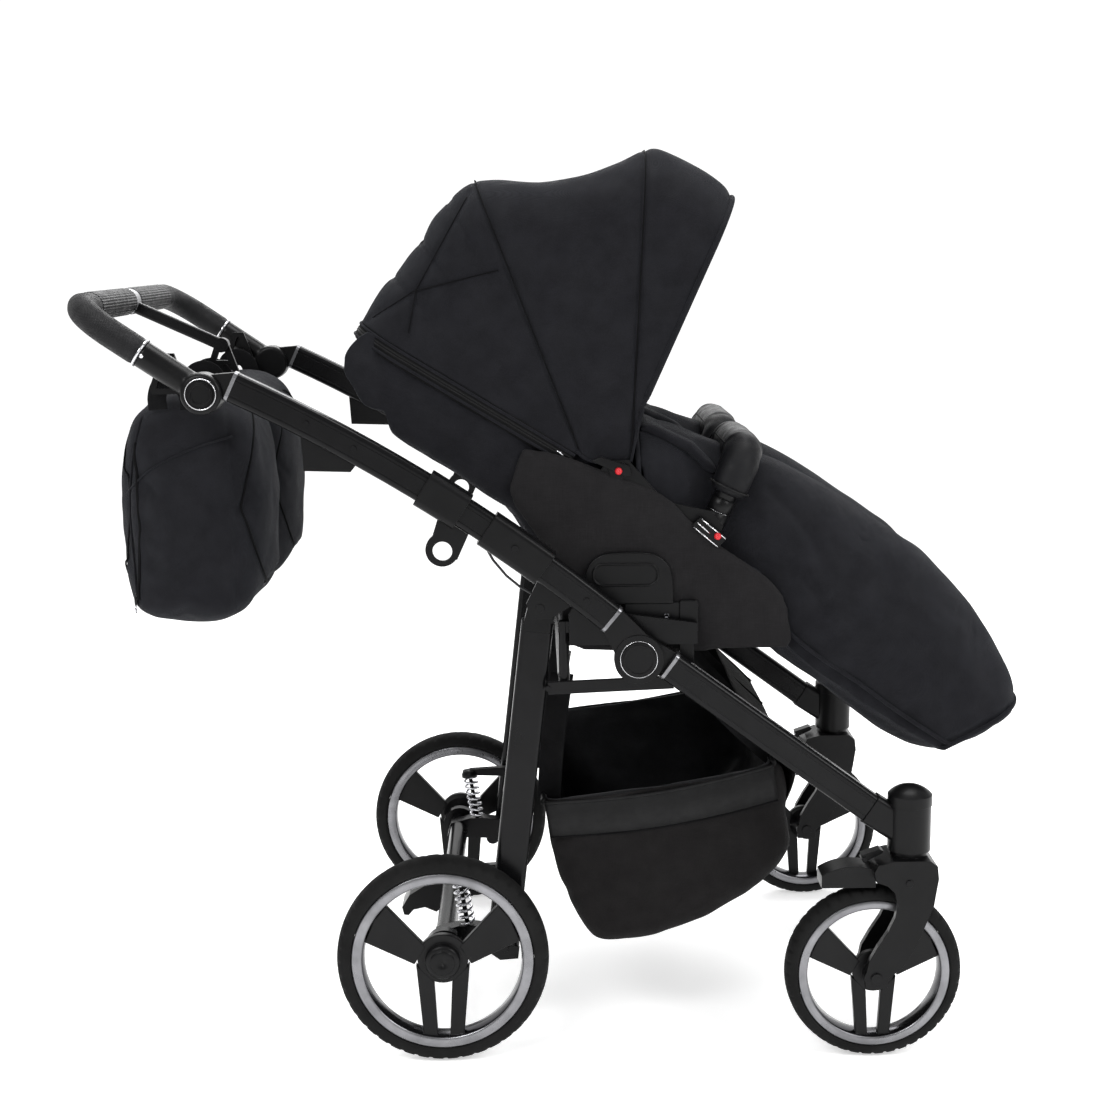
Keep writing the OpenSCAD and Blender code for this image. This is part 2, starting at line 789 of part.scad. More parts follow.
module canopy_front() {
    color("#1d1d20") at(canopy_p) difference() {
        plate(-outer_y + 0.5, seat_w - 1) polygon([
            [4, 40], 436 * [cos(84), sin(84)], 440 * [cos(75), sin(75)], 418 * [cos(66), sin(66)],
            404 * [cos(62.5), sin(62.5)], [30, 98], [16, 36]
        ]);
        plate(-outer_y + 7, seat_w - 14) polygon([
            [-60, 20], 429 * [cos(90), sin(90)], 430 * [cos(84), sin(84)], 434 * [cos(75), sin(75)],
            412 * [cos(66), sin(66)], 440 * [cos(58), sin(58)], [120, 20]
        ]);
    }
}

// Padded cover over the child's legs, with the foot rest inside it
module leg_cover() {
    edge = 6;
    // As far forward as the grip is behind, so that the origin is under the middle
    tip_x = handle_reach * cos(handle_a) + grip_d / 2 - tilt_p[0];
    color("#1c1c20") plate(-outer_y + edge, seat_w - 2 * edge) polygon([
        [306, 832], [361, 800], [442, 752], [540, 680], [620, 580], [tip_x, 487], [640, 462], [609, 446],
        [545, 430], [470, 478], [380, 536], [337, 573], [326, 640], [316, 700]
    ]);
    color("#1c1c20") rod_y([330, 690], 5, -outer_y + 2, -inner_y - 2);
}

// Padded arch in front of the child, pushed into the sockets at the seat's sides
module bumper() {
    reach = 106;
    color("#202022") at(bumper_p, -seat_y) rotate([0, 90 + bumper_lean, 0]) {
        u_bar(bumper_r, bumper_half, reach, 40, 0);
        u_bar(22, bumper_half, reach, 40, 50);
    }
}

module bumper_button() {
    color("red") rod_y(rail_end_p + [7, -7], 7, -outer_y - 15, -outer_y + 2);
}

module canopy_button() {
    color("red") {
        rod_y(canopy_p, 4, -outer_y - 10, -outer_y - 2.3);
        rod_y(canopy_p, 6.5, -outer_y - 14, -outer_y - 9);
    }
}

upper_tubes();
tube_ferrules();
tube_end_fittings();
leg_collars();
seat_chassis();
seat_adapters();
frame_bolts();
fold_caps();
release_cables();
basket();
basket_straps();
handle_tube();
handle_grip();
handle_sleeves();
handle_strut();
bag_hooks();
handle_rings();
on_side(-1) tilt_button();  // tilt_button_right
on_side(1) tilt_button();  // tilt_button_left
on_side(-1) bag();  // bag_right
on_side(1) bag();  // bag_left
release_clips();
lower_tubes();
lower_knuckles();
caster_housings();
lower_ferrules();
on_side(-1) fork();  // fork_right
on_side(1) fork();  // fork_left
on_side(-1) swivel_lock();  // swivel_lock_right
on_side(1) swivel_lock();  // swivel_lock_left
on_side(-1) front_wheel();  // front_wheel_right
on_side(1) front_wheel();  // front_wheel_left
on_side(-1) front_tyre();  // front_tyre_right
on_side(1) front_tyre();  // front_tyre_left
rear_legs();
leg_fittings();
brace_links();
rear_springs();
rear_axle();
brake_pedal();
on_side(-1) rear_wheel();  // rear_wheel_right
on_side(1) rear_wheel();  // rear_wheel_left
on_side(-1) rear_tyre();  // rear_tyre_right
on_side(1) rear_tyre();  // rear_tyre_left
on_side(-1) seat_frame();  // seat_frame_right
on_side(1) seat_frame();  // seat_frame_left
on_side(-1) seat_shell();  // seat_shell_right
on_side(1) seat_shell();  // seat_shell_left
on_side(-1) canopy_rear();  // canopy_rear_right
on_side(1) canopy_rear();  // canopy_rear_left
on_side(-1) canopy_front();  // canopy_front_right
on_side(1) canopy_front();  // canopy_front_left
on_side(-1) leg_cover();  // leg_cover_right
on_side(1) leg_cover();  // leg_cover_left
on_side(-1) bumper();  // bumper_right
on_side(1) bumper();  // bumper_left
on_side(-1) bumper_button();  // bumper_button_right
on_side(1) bumper_button();  // bumper_button_left
on_side(-1) canopy_button();  // canopy_button_right
on_side(1) canopy_button();  // canopy_button_left
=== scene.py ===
"""A side-by-side twin stroller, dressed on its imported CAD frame: fabric, wheels, grips, straps and a studio.

Places are (x, y, z) in millimetres in the CAD frame, turned into metres where a mesh is made. The right half
is built, and the left half is its mirror image.
"""

import json
from math import cos, hypot, pi, radians, sin

import bmesh
import bpy
import numpy as np
from mathutils import Matrix, Vector, kdtree, noise
from mathutils.bvhtree import BVHTree

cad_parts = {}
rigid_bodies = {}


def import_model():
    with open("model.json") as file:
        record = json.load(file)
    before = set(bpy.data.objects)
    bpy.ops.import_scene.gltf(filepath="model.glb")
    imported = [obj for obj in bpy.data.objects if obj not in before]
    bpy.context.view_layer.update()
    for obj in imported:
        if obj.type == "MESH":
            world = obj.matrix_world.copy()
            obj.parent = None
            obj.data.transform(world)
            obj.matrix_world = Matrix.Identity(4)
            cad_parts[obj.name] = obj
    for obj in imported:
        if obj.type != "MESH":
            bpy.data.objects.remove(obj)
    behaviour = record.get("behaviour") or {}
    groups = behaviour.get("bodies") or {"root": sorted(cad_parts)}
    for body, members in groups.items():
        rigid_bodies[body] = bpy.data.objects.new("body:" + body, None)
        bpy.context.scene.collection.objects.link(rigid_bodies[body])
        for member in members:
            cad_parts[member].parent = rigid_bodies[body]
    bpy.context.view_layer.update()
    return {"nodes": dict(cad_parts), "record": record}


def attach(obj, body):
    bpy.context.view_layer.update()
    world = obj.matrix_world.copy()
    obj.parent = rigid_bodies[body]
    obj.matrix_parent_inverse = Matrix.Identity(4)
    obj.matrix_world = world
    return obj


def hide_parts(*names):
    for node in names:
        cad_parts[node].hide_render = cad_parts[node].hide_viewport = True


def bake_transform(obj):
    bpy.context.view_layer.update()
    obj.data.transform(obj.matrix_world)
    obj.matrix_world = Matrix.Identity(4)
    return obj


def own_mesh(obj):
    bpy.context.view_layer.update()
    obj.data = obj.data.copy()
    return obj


for leftover in list(bpy.data.objects):
    bpy.data.objects.remove(leftover)
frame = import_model()
MM = 0.001

# ---- Materials ----


class Graph:
    """A material's node tree around one Principled shader, its constants set straight on the shader."""

    def __init__(self, name, **sockets):
        self.material = bpy.data.materials.new(name)
        self.material.use_nodes = True
        self.tree = self.material.node_tree
        self.shader = self.tree.nodes["Principled BSDF"]
        for key, value in sockets.items():
            self.shader.inputs[key.replace("_", " ")].default_value = value

    def add(self, kind, inputs=(), **settings):
        node = self.tree.nodes.new(kind)
        for key, value in settings.items():
            setattr(node, key, value)
        for key, value in dict(inputs).items():
            if isinstance(value, bpy.types.NodeSocket):
                self.tree.links.new(value, node.inputs[key])
            else:
                node.inputs[key].default_value = value
        return node

    def link(self, socket, target):
        self.tree.links.new(socket, self.shader.inputs[target])

    def coordinates(self, stretch=(1, 1, 1), source="Object"):
        where = self.add("ShaderNodeTexCoord")
        return self.add("ShaderNodeMapping", {"Vector": where.outputs[source], "Scale": stretch}).outputs[0]

    def noise(self, scale, detail=3.0, stretch=(1, 1, 1), roughness=0.55):
        return self.add(
            "ShaderNodeTexNoise",
            {"Vector": self.coordinates(stretch), "Scale": scale, "Detail": detail, "Roughness": roughness},
        ).outputs["Fac"]

    def math(self, operation, a, b):
        return self.add("ShaderNodeMath", {0: a, 1: b}, operation=operation).outputs[0]

    def spread(self, value, low, high):
        """A noise value spread over low to high."""
        return self.add(
            "ShaderNodeMapRange", {
                "Value": value, "From Min": 0.3, "From Max": 0.7, "To Min": low, "To Max": high
            }
        ).outputs[0]

    def tint(self, value, dark, light):
        ramp = self.add("ShaderNodeValToRGB", {"Fac": value})
        ramp.color_ramp.elements[0].position, ramp.color_ramp.elements[1].position = 0.32, 0.68
        ramp.color_ramp.elements[0].color, ramp.color_ramp.elements[1].color = (*dark, 1), (*light, 1)
        self.link(ramp.outputs[0], "Base Color")
        return ramp.outputs[0]

    def bands(self, scale, direction, source="Object"):
        return self.add(
            "ShaderNodeTexWave",
            {"Vector": self.coordinates(source=source), "Scale": scale, "Distortion": 0.15},
            bands_direction=direction,
        ).outputs["Fac"]

    def bump(self, height, distance, strength=1.0, edge=None):
        inputs = {"Height": height, "Distance": distance, "Strength": strength}
        if edge:
            inputs["Normal"] = self.add("ShaderNodeBevel", {"Radius": edge}, samples=4).outputs[0]
        self.link(self.add("ShaderNodeBump", inputs).outputs[0], "Normal")


def near(colour, share):
    return tuple(min(1, c * share) for c in colour)


def fabric(name, colour, thread, slub=0.0, **sockets):
    """Woven cloth: threads along the three axes, so that every face shows two of them crossing."""
    g = Graph(name, Specular_IOR_Level=0.13, Sheen_Roughness=0.4, Roughness=0.85, **sockets)
    mottle = g.math("ADD", g.math("MULTIPLY", g.noise(38, 4), 0.5), g.math("MULTIPLY", g.noise(650, 2), 0.5))
    if slub:
        along = g.noise(900, 2, (1, 1, 0.06))
        across = g.noise(900, 2, (0.06, 1, 1))
        mottle = g.math(
            "ADD", g.math("MULTIPLY", mottle, 1 - slub),
            g.math("MULTIPLY", g.math("ADD", along, across), slub / 2),
        )
    g.tint(mottle, near(colour, 0.7), near(colour, 1.3))
    period = 0.314 / (thread * MM)
    weave = g.math("ADD", g.math("ADD", g.bands(period, "X"), g.bands(period, "Y")), g.bands(period, "Z"))
    soft = g.math("MULTIPLY", g.noise(60, 3), 2.5)
    g.bump(g.math("ADD", weave, soft), 0.00035, 0.7)
    g.link(g.spread(g.noise(25, 2), 0.78, 0.95), "Roughness")
    return g.material


def hard(name, colour, roughness, grain, grain_depth, edge=0.0009, stretch=(1, 1, 1), **sockets):
    """Metal or plastic with a fine grain, edges that catch the light, and a slightly uneven polish."""
    g = Graph(name, **sockets)
    g.tint(g.noise(30, 4), near(colour, 0.82), near(colour, 1.2))
    g.link(g.spread(g.noise(14, 5), roughness * 0.85, min(1, roughness * 1.2)), "Roughness")
    g.bump(g.noise(grain, 2, stretch), grain_depth, 0.6, edge)
    return g.material


def leather(name, colour, ribs=None):
    g = Graph(name, Specular_IOR_Level=0.17, Roughness=0.5)
    g.tint(g.noise(50, 4), near(colour, 0.8), near(colour, 1.25))
    g.link(g.spread(g.noise(90, 3), 0.42, 0.62), "Roughness")
    cells = g.add("ShaderNodeTexVoronoi", {"Vector": g.coordinates(), "Scale": 900}).outputs["Distance"]
    if ribs:
        step = 0.314 / (ribs * MM)
        diagonal = g.add(
            "ShaderNodeMapping",
            {"Vector": g.add("ShaderNodeTexCoord").outputs["UV"], "Rotation": (0, 0, radians(45))},
        )
        lines = [
            g.add(
                "ShaderNodeTexWave", {"Vector": diagonal.outputs[0], "Scale": step}, bands_direction=d
            ).outputs["Fac"]
            for d in "XY"
        ]
        g.bump(g.math("MAXIMUM", *lines), 0.0009, 1.0)
    else:
        g.bump(cells, 0.0003, 0.7)
    return g.material


M = {
    "soft_fabric": fabric(
        "softshell", (0.0098, 0.0099, 0.0122), 0.7, Sheen_Weight=0.035, Sheen_Tint=(0.8, 0.86, 1, 1)
    ),
    "side_fabric": fabric("linen_look", (0.0122, 0.0116, 0.0124), 0.9, slub=0.6, Sheen_Weight=0.02),
    "basket_fabric": fabric("basket_nylon", (0.0100, 0.0092, 0.0094), 0.6, slub=0.3, Sheen_Weight=0.015),
    "lining": fabric(
        "lining_nylon", (0.032, 0.0323, 0.035), 0.4, Sheen_Weight=0.05, Coat_Weight=0.22,
        Coat_Roughness=0.35,
    ),
    "webbing": fabric("webbing", (0.0045, 0.0045, 0.005), 1.6, Sheen_Weight=0.01),
    "band": leather("smooth_leatherette", (0.0062, 0.0062, 0.0065)),
    "leather": leather("grained_leatherette", (0.0040, 0.0040, 0.0050)),
    "knurl": leather("knurled_leatherette", (0.0125, 0.0125, 0.0135), ribs=1.9),
    "frame_metal": hard(
        "anodised_tube", (0.0040, 0.0040, 0.0044), 0.24, 1800, 0.00006, stretch=(0.05, 1, 0.05),
        Metallic=0.2, Specular_IOR_Level=0.18,
    ),
    "frame_plastic": hard(
        "moulded_nylon", (0.0032, 0.0032, 0.0035), 0.32, 1500, 0.00012, Specular_IOR_Level=0.16
    ),
    "grey_plastic": hard("satin_grey", (0.24, 0.24, 0.25), 0.4, 1500, 0.0001),
    "silver": hard("polished_metal", (0.72, 0.72, 0.74), 0.16, 700, 0.00003, Metallic=1.0),
    "spring_steel": hard("spring_steel", (0.62, 0.62, 0.65), 0.2, 700, 0.00003, edge=None, Metallic=1.0),
    "rim_ring": hard("rim_ring", (0.2, 0.2, 0.21), 0.28, 900, 0.00004, Metallic=0.9),
    "rim_barrel": hard("rim_barrel", (0.06, 0.06, 0.065), 0.18, 600, 0.00003, Metallic=0.95),
    "wheel_plastic": hard(
        "wheel_star", (0.0040, 0.0040, 0.0043), 0.33, 1300, 0.0001, Specular_IOR_Level=0.17
    ),
    "tyre_rubber": hard("tyre_rubber", (0.0075, 0.0075, 0.0075), 0.8, 500, 0.0002, Specular_IOR_Level=0.14),
    "cable_sheath": hard("cable_sheath", (0.006, 0.006, 0.007), 0.5, 900, 0.00008, edge=None),
    "red_plastic": hard("red_button", (0.5, 0.008, 0.015), 0.3, 900, 0.00005),
    "thread": hard("thread", (0.0035, 0.0035, 0.004), 0.8, 2500, 0.0002, edge=None, Specular_IOR_Level=0.08),
}
SLOTS = {s["node"]: s["material_slot"] for s in frame["record"]["subparts"]}
for node, obj in frame["nodes"].items():
    obj.data.materials.clear()
    look = {"grip_leather": "leather"}.get(SLOTS[node], SLOTS[node])
    look = {
        "tube_ferrules": "rim_ring", "lower_ferrules": "rim_ring", "frame_bolts": "frame_metal"
    }.get(node, look)
    obj.data.materials.append(M[look])

# ---- Mesh helpers ----


def new_object(name, vertices, faces, materials, uvs=None):
    """A mesh object from points in millimetres. uvs holds one (u, v) in metres for each corner."""
    mesh = bpy.data.meshes.new(name)
    mesh.from_pydata([Vector(v) * MM for v in vertices], [], faces)
    if uvs is not None:
        layer = mesh.uv_layers.new(name="run")
        layer.data.foreach_set("uv", np.array(uvs, np.float32).ravel())
    obj = bpy.data.objects.new(name, mesh)
    bpy.context.scene.collection.objects.link(obj)
    for material in materials:
        mesh.materials.append(M[material])
    tidy(obj)
    return obj


def tidy(obj, weld=0.0):
    """Welds, turns every face outwards and shades smooth."""
    b = bmesh.new()
    b.from_mesh(obj.data)
    if weld:
        bmesh.ops.remove_doubles(b, verts=b.verts, dist=weld * MM)
    bmesh.ops.recalc_face_normals(b, faces=b.faces)
    for f in b.faces:
        f.smooth = True
    b.to_mesh(obj.data)
    b.free()


def grid(name, rows, materials, loop_rows=False, loop_columns=False, caps=False, uvs=None):
    """A surface through rows of points, every row with the same count."""
    n, m = len(rows), len(rows[0])
    at = lambda i, j: (i % n) * m + j % m
    faces, corners = [], []
    for i in range(n if loop_rows else n - 1):
        for j in range(m if loop_columns else m - 1):
            faces.append((at(i, j), at(i, j + 1), at(i + 1, j + 1), at(i + 1, j)))
            if uvs:
                (u0, u1), (v0, v1) = (uvs[0][i], uvs[0][i + 1]), (uvs[1][j], uvs[1][j + 1])
                corners += [(u0, v0), (u0, v1), (u1, v1), (u1, v0)]
    if caps:
        for row in (0, n - 1):
            faces.append(tuple(at(row, j) for j in range(m)))
            corners += [(0, 0)] * m
    return new_object(name, [p for row in rows for p in row], faces, materials, corners if uvs else None)


def catmull(a, b, c, d, t):
    """The point at share t of the Catmull-Rom curve from b to c."""
    return 0.5 * (2 * b + (c - a) * t + (2 * a - 5 * b + 4 * c - d) * t**2 + (3 * b - a - 3 * c + d) * t**3)


def full_turn(count):
    """Angles evenly round a circle."""
    return np.linspace(0, 2 * pi, count, endpoint=False)


def smooth_path(points, count, closed=False):
    """count points evenly spaced along a Catmull-Rom curve through the given ones."""
    p = np.array(points, float)
    ext = np.vstack([p[-1:], p, p[:2]]) if closed else np.vstack([2 * p[0] - p[1], p, 2 * p[-1] - p[-2]])
    fine = []
    for a, b, c, d in zip(ext, ext[1:], ext[2:], ext[3:]):
        for t in np.linspace(0, 1, 24, endpoint=False):
            fine.append(catmull(a, b, c, d, t))
    fine = np.array(fine + [p[0] if closed else p[-1]])
    run = np.concatenate([[0], np.cumsum(np.linalg.norm(np.diff(fine, axis=0), axis=1))])
    wanted = np.linspace(0, run[-1], count, endpoint=not closed)
    return np.stack([np.interp(wanted, run, fine[:, k]) for k in range(fine.shape[1])], axis=1)


def sweep(name, path, radius, materials, around=20, closed=False, caps=True, shape=None, flat=None):
    """A tube along a path, with one radius or one per point, which shape(angle, share) scales.

    flat=(width, thickness, face) makes a ribbon of it.
    """
    path = [Vector(p) for p in path]
    count = len(path)
    radii = radius if hasattr(radius, "__len__") else [radius] * count
    ahead = [
        (
            path[(i + 1) % count if closed else min(i + 1, count - 1)] - path[i - 1 if closed or i else 0]
        ).normalized()
        for i in range(count)
    ]
    side = (Vector(flat[2]) if flat else ahead[0].orthogonal()).normalized()
    run, rows, us = 0.0, [], []
    for i, (p, d) in enumerate(zip(path, ahead)):
        side = (side - side.dot(d) * d).normalized()
        other = d.cross(side)
        row = []
        for k in range(around):
            a = 2 * pi * k / around
            if flat:
                c, s = cos(a), sin(a)
                x = flat[1] / 2 * (abs(c) ** 0.5) * (1 if c > 0 else -1)
                y = flat[0] / 2 * (abs(s) ** 0.3) * (1 if s > 0 else -1)
                row.append(p + side * x + other * y)
            else:
                r = radii[i] * (shape(a, i / (count - 1)) if shape else 1)
                row.append(p + side * (r * cos(a)) + other * (r * sin(a)))
        rows.append(row)
        us.append(run * MM)
        if i + 1 < count:
            run += (path[i + 1] - p).length
    us.append(run * MM)
    mean = sum(radii) / count
    vs = [2 * pi * mean * MM * k / around for k in range(around + 1)]
    return grid(name, rows, materials, closed, True, caps and not closed, (us, vs))


def turned(name, profile, centre, materials, steps=96, wobble=None):
    """A closed profile of (radius, y) turned about the Y axis through centre."""
    rows = []
    for k in range(steps):
        a = 2 * pi * k / steps
        row = []
        for i, (r, y) in enumerate(profile):
            r += wobble(k, i) if wobble else 0
            row.append((centre[0] + r * cos(a), centre[1] + y, centre[2] + r * sin(a)))
        rows.append(row)
    return grid(name, rows, materials, True, True)


def plate(name, outline, y0, y1, materials, bevel=1.0, segments=2):
    """An XZ outline as a plate from y0 to y1 with rounded edges."""
    n = len(outline)
    points = [(x, y, z) for y in (y0, y1) for x, z in outline]
    faces = [tuple(range(n)), tuple(range(n, 2 * n))] + [
        (i, (i + 1) % n, n + (i + 1) % n, n + i)
        for i in range(n)
    ]
    obj = new_object(name, points, faces, materials)
    if bevel:
        apply(
            obj, "BEVEL", width=bevel * MM, segments=segments, limit_method="ANGLE",
            angle_limit=radians(25),
        )
    for f in obj.data.polygons:
        f.use_smooth = True
    apply(obj, "WEIGHTED_NORMAL")
    return obj


def apply(obj, kind, **settings):
    """Adds a modifier and turns the result into the mesh."""
    modifier = obj.modifiers.new(kind.lower(), kind)
    for key, value in settings.items():
        setattr(modifier, key, value)
    mesh = bpy.data.meshes.new_from_object(obj.evaluated_get(bpy.context.evaluated_depsgraph_get()))
    obj.modifiers.clear()
    obj.data = mesh
    return obj


def coordinates(obj):
    co = np.zeros(len(obj.data.vertices) * 3)
    obj.data.vertices.foreach_get("co", co)
    return co.reshape(-1, 3)


def normals(obj):
    co = np.zeros(len(obj.data.vertices) * 3)
    obj.data.vertices.foreach_get("normal", co)
    return co.reshape(-1, 3)


def put(obj, co):
    obj.data.vertices.foreach_set("co", np.ascontiguousarray(co, float).ravel())
    obj.data.update()


def inflate(obj, voxel, cap, pressure=4.0):
    """Padding by cloth simulation: the closed form swells, and no point moves further than cap."""
    apply(obj, "REMESH", mode="VOXEL", voxel_size=voxel * MM)
    tidy(obj)
    rest = coordinates(obj)
    cloth = obj.modifiers.new("cloth", "CLOTH")
    cloth.settings.quality = 4
    cloth.settings.use_pressure = True
    cloth.settings.uniform_pressure_force = pressure
    cloth.settings.effector_weights.gravity = 0
    cloth.collision_settings.use_collision = False
    cloth.point_cache.frame_start, cloth.point_cache.frame_end = 1, 20
    for number in range(1, 21):
        bpy.context.scene.frame_set(number)
    swollen = obj.evaluated_get(bpy.context.evaluated_depsgraph_get()).to_mesh()
    moved = np.zeros(len(swollen.vertices) * 3)
    swollen.vertices.foreach_get("co", moved)
    obj.modifiers.clear()
    bpy.context.scene.frame_set(1)
    shift = moved.reshape(-1, 3) - rest
    length = np.maximum(np.linalg.norm(shift, axis=1, keepdims=True), 1e-9)
    put(obj, rest + shift * np.minimum(1, cap * MM / length))
    apply(obj, "SMOOTH", factor=0.5, iterations=3)
    return obj


def groove(obj, path, depth, width):
    """Presses a seam's valley along a path of millimetre points into the surface."""
    tree = kdtree.KDTree(len(path))
    for i, p in enumerate(path):
        tree.insert(Vector(p) * MM, i)
    tree.balance()
    co, up = coordinates(obj), normals(obj)
    away = np.array([tree.find(Vector(p))[2] for p in co])
    put(obj, co - up * (depth * MM * np.exp(-((away / (width * MM)) ** 2)))[:, None])


def rumple(obj, scale, depth, where=None, stretch=(1, 1, 1)):
    """Soft uneven folds: moves the surface by smooth noise of that scale in millimetres."""
    co, up = coordinates(obj), normals(obj)
    amount = np.array([noise.noise(Vector(p * stretch) / (scale * MM)) for p in co])
    if where is not None:
        amount *= where(co / MM)
    put(obj, co + up * (amount * depth * MM)[:, None])


def surface(obj):
    return BVHTree.FromObject(obj, bpy.context.evaluated_depsgraph_get())


def cast(tree, points, direction, lift=0.0):
    """Points in millimetres thrown onto a surface along direction, lifted off it by lift."""
    found = []
    for p in points:
        hit, normal, _, _ = tree.ray_cast(Vector(p) * MM, Vector(direction))
        if hit is not None:
            found.append(hit / MM + normal * lift)
    return found


def line(points, step=4.0):
    """Points every step along straight pieces."""
    out = []
    for a, b in zip(points, points[1:]):
        a, b = np.array(a, float), np.array(b, float)
        count = max(2, int(np.linalg.norm(b - a) / step))
        out += [a + (b - a) * t for t in np.linspace(0, 1, count, endpoint=False)]
    return out + [np.array(points[-1], float)]


def join(name, objects):
    """Several mesh objects as one, their materials kept."""
    with bpy.context.temp_override(active_object=objects[0], selected_editable_objects=objects):
        bpy.ops.object.join()
    objects[0].name = name
    return objects[0]


def mirrored(obj, name):
    """The same piece on the other side of the stroller."""
    other = obj.copy()
    other.data = obj.data.copy()
    other.name = name
    bpy.context.scene.collection.objects.link(other)
    other.data.transform(Matrix.Scale(-1, 4, (0, 1, 0)))
    other.data.flip_normals()
    return other


def pair(obj, base, body=None, replaces=(), blend=None, squash=None):
    """Names a right-hand piece, makes its left-hand mirror image, and sets how both follow the frame."""
    obj.name = base + "_right"
    for side, piece in (("right", obj), ("left", mirrored(obj, base + "_left"))):
        put_on(
            piece, body and body.format(side), [r.format(side) for r in replaces], blend,
            squash,
        )
    return obj


def put_on(piece, body, replaces=(), blend=None, squash=None):
    """Parents a piece to its body, or bakes its place into its mesh when blend is given; gives it its own mesh
    when squash is given; and hides the CAD nodes it replaces.
    """
    if blend:
        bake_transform(piece)
    else:
        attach(piece, body)
    if squash:
        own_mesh(piece)
    if replaces:
        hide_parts(*replaces)


# ---- Wheels ----

SIDE_Y = 335
REAR_WHEEL = (-170, -332, 150)
FRONT_WHEEL = (439, -SIDE_Y, 125)


def tyre(centre, radius):
    """A tyre with rounded shoulders that carry a row of small notched blocks."""
    k = radius / 150
    rim = 129 * k
    tread = [
        (rim, -16), (rim + 1, -19.5), (rim + 5 * k, -20), (radius - 7, -18), (radius - 3.4, -15),
        (radius - 1.2, -10),
    ]
    tread += [(radius - 0.2, -5), (radius, 0)]
    profile = tread + [(r, -y) for r, y in reversed(tread[:-1])]
    shoulder = {4: 1.0, 5: 0.8, len(profile) - 6: 0.8, len(profile) - 5: 1.0}
    blocks = 44

    def notch(step, index):
        phase = step % 8
        cut = 2.1 if phase in (0, 1) else 0.0
        return -cut * shoulder.get(index, 0.0)

    return turned("tyre", profile, centre, ["tyre_rubber"], blocks * 8, notch)


def wheel(centre, radius, hub_half, cap_r):
    k = radius / 150
    x, y, z = centre
    half = [
        (118, 8), (121, 13), (128.5, 15), (128.8, 17.2), (127, 18.6), (121, 17.8), (116.4, 18.4),
        (114.2, 17), (112.6, 13), (111.4, 7), (111, 0),
    ]
    profile = [(k * r, -w) for r, w in half] + [(k * r, w) for r, w in reversed(half[:-1])]
    rim = turned("rim", profile, centre, ["rim_ring", "rim_barrel"], 160)
    for f in rim.data.polygons:
        c = f.center / MM
        f.material_index = 0 if hypot(c.x - x, c.z - z) > 113.6 * k and abs(c.y - y) > 14 else 1
    spokes = star_with_ribs(centre, k)
    hub = [
        (4, -hub_half), (cap_r - 6, -hub_half), (cap_r - 2, -hub_half + 1), (cap_r, -hub_half + 4),
        (cap_r, -12), (30 * k, -10), (30 * k, 0), (21 * k, 4),
    ]
    hub += [(20 * k, min(18, hub_half)), (4, min(18, hub_half))]
    cap = turned("hub", hub, centre, ["wheel_plastic"], 64)
    dial = [
        (0.01, -hub_half - 1.6), (cap_r - 9, -hub_half - 1.4), (cap_r - 7.4, -hub_half - 0.6),
        (cap_r - 7, -hub_half + 1), (0.01, -hub_half + 1),
    ]
    face = turned("dial", dial, centre, ["frame_plastic"], 64)
    return join("wheel", [rim, spokes, cap, face])


def star_with_ribs(centre, k):
    """The star's face, its edges turned back to the rim's middle so that each spoke is a deep channel."""
    x, y, z = centre
    outlines = [
        [(-24, 20), (-79.2, 80.6), (-96, 60), (-109.5, 27.7), (-40, -6)],
        [(24, 20), (40, -6), (109.5, 27.7), (96, 60), (79.2, 80.6)],
        [(-38, -6), (-29, -111), (-8.5, -113), (-12.5, -32)],
        [(38, -6), (12.5, -32), (8.5, -113), (29, -111)],
    ]
    parts = []
    for outline in outlines:
        points = [(x + k * px, z + k * pz) for px, pz in outline]
        parts.append(plate("arm", points, y - 13, y - 1, ["wheel_plastic"], 1.6, 3))
    ring = [(x + 36 * k * cos(a), z + 2 * k + 36 * k * sin(a)) for a in full_turn(40)]
    parts.append(plate("middle", ring, y - 12.6, y - 2, ["wheel_plastic"], 1.6, 3))
    return join("star", parts)


def build_wheels():
    for name, centre, radius, hub, cap in (
        ("rear", REAR_WHEEL, 150, 24, 25), ("front", FRONT_WHEEL, 125, 25, 17)
    ):
        body = name + "_wheel_{}"
        pair(
            wheel(centre, radius, hub, cap), name + "_wheel_piece", body, [name + "_wheel_{}"],
        )
        pair(tyre(centre, radius), name + "_tyre_piece", body, [name + "_tyre_{}"])


# ---- Canopies ----

SEAT_Y = -157
CHEEK = 125
# The canopy's spokes in side view, from the zip round to the visor's edge: lower end and upper end
SPOKES = [
    ((24, 859), (-272, 1040)),
    ((25, 860), (-242, 1084)),
    ((26, 860), (-212, 1116)),
    ((27, 860), (-188, 1150)),
    ((28, 859), (-162, 1188)),
    ((29, 858), (-134, 1219)),
    ((31, 856), (-113, 1232)),
    ((40, 850), (-77, 1235)),
    ((55, 846), (-22, 1233)),
    ((72, 845), (40, 1243)),
    ((88, 846), (88, 1258)),
    ((100, 848), (122, 1271)),
    ((104, 866), (146, 1270)),
    ((109, 890), (199, 1244)),
    ((115, 920), (232, 1222)),
    ((123, 938), (244, 1206)),
]
BOWS = (6, 11)
CORNER = 74


def spoke(u):
    """The spoke at u, counted in spokes, as its lower and upper ends on smooth curves."""
    i = min(max(int(u), 0), len(SPOKES) - 2)
    t = u - i
    ends = []
    for end in (0, 1):
        p = [np.array(SPOKES[min(max(i + k, 0), len(SPOKES) - 1)][end], float) for k in (-1, 0, 1, 2)]
        if i in BOWS:
            p[0] = 2 * p[1] - p[2]
        if i + 1 in BOWS:
            p[3] = 2 * p[2] - p[1]
        ends.append(catmull(*p, t))
    return ends


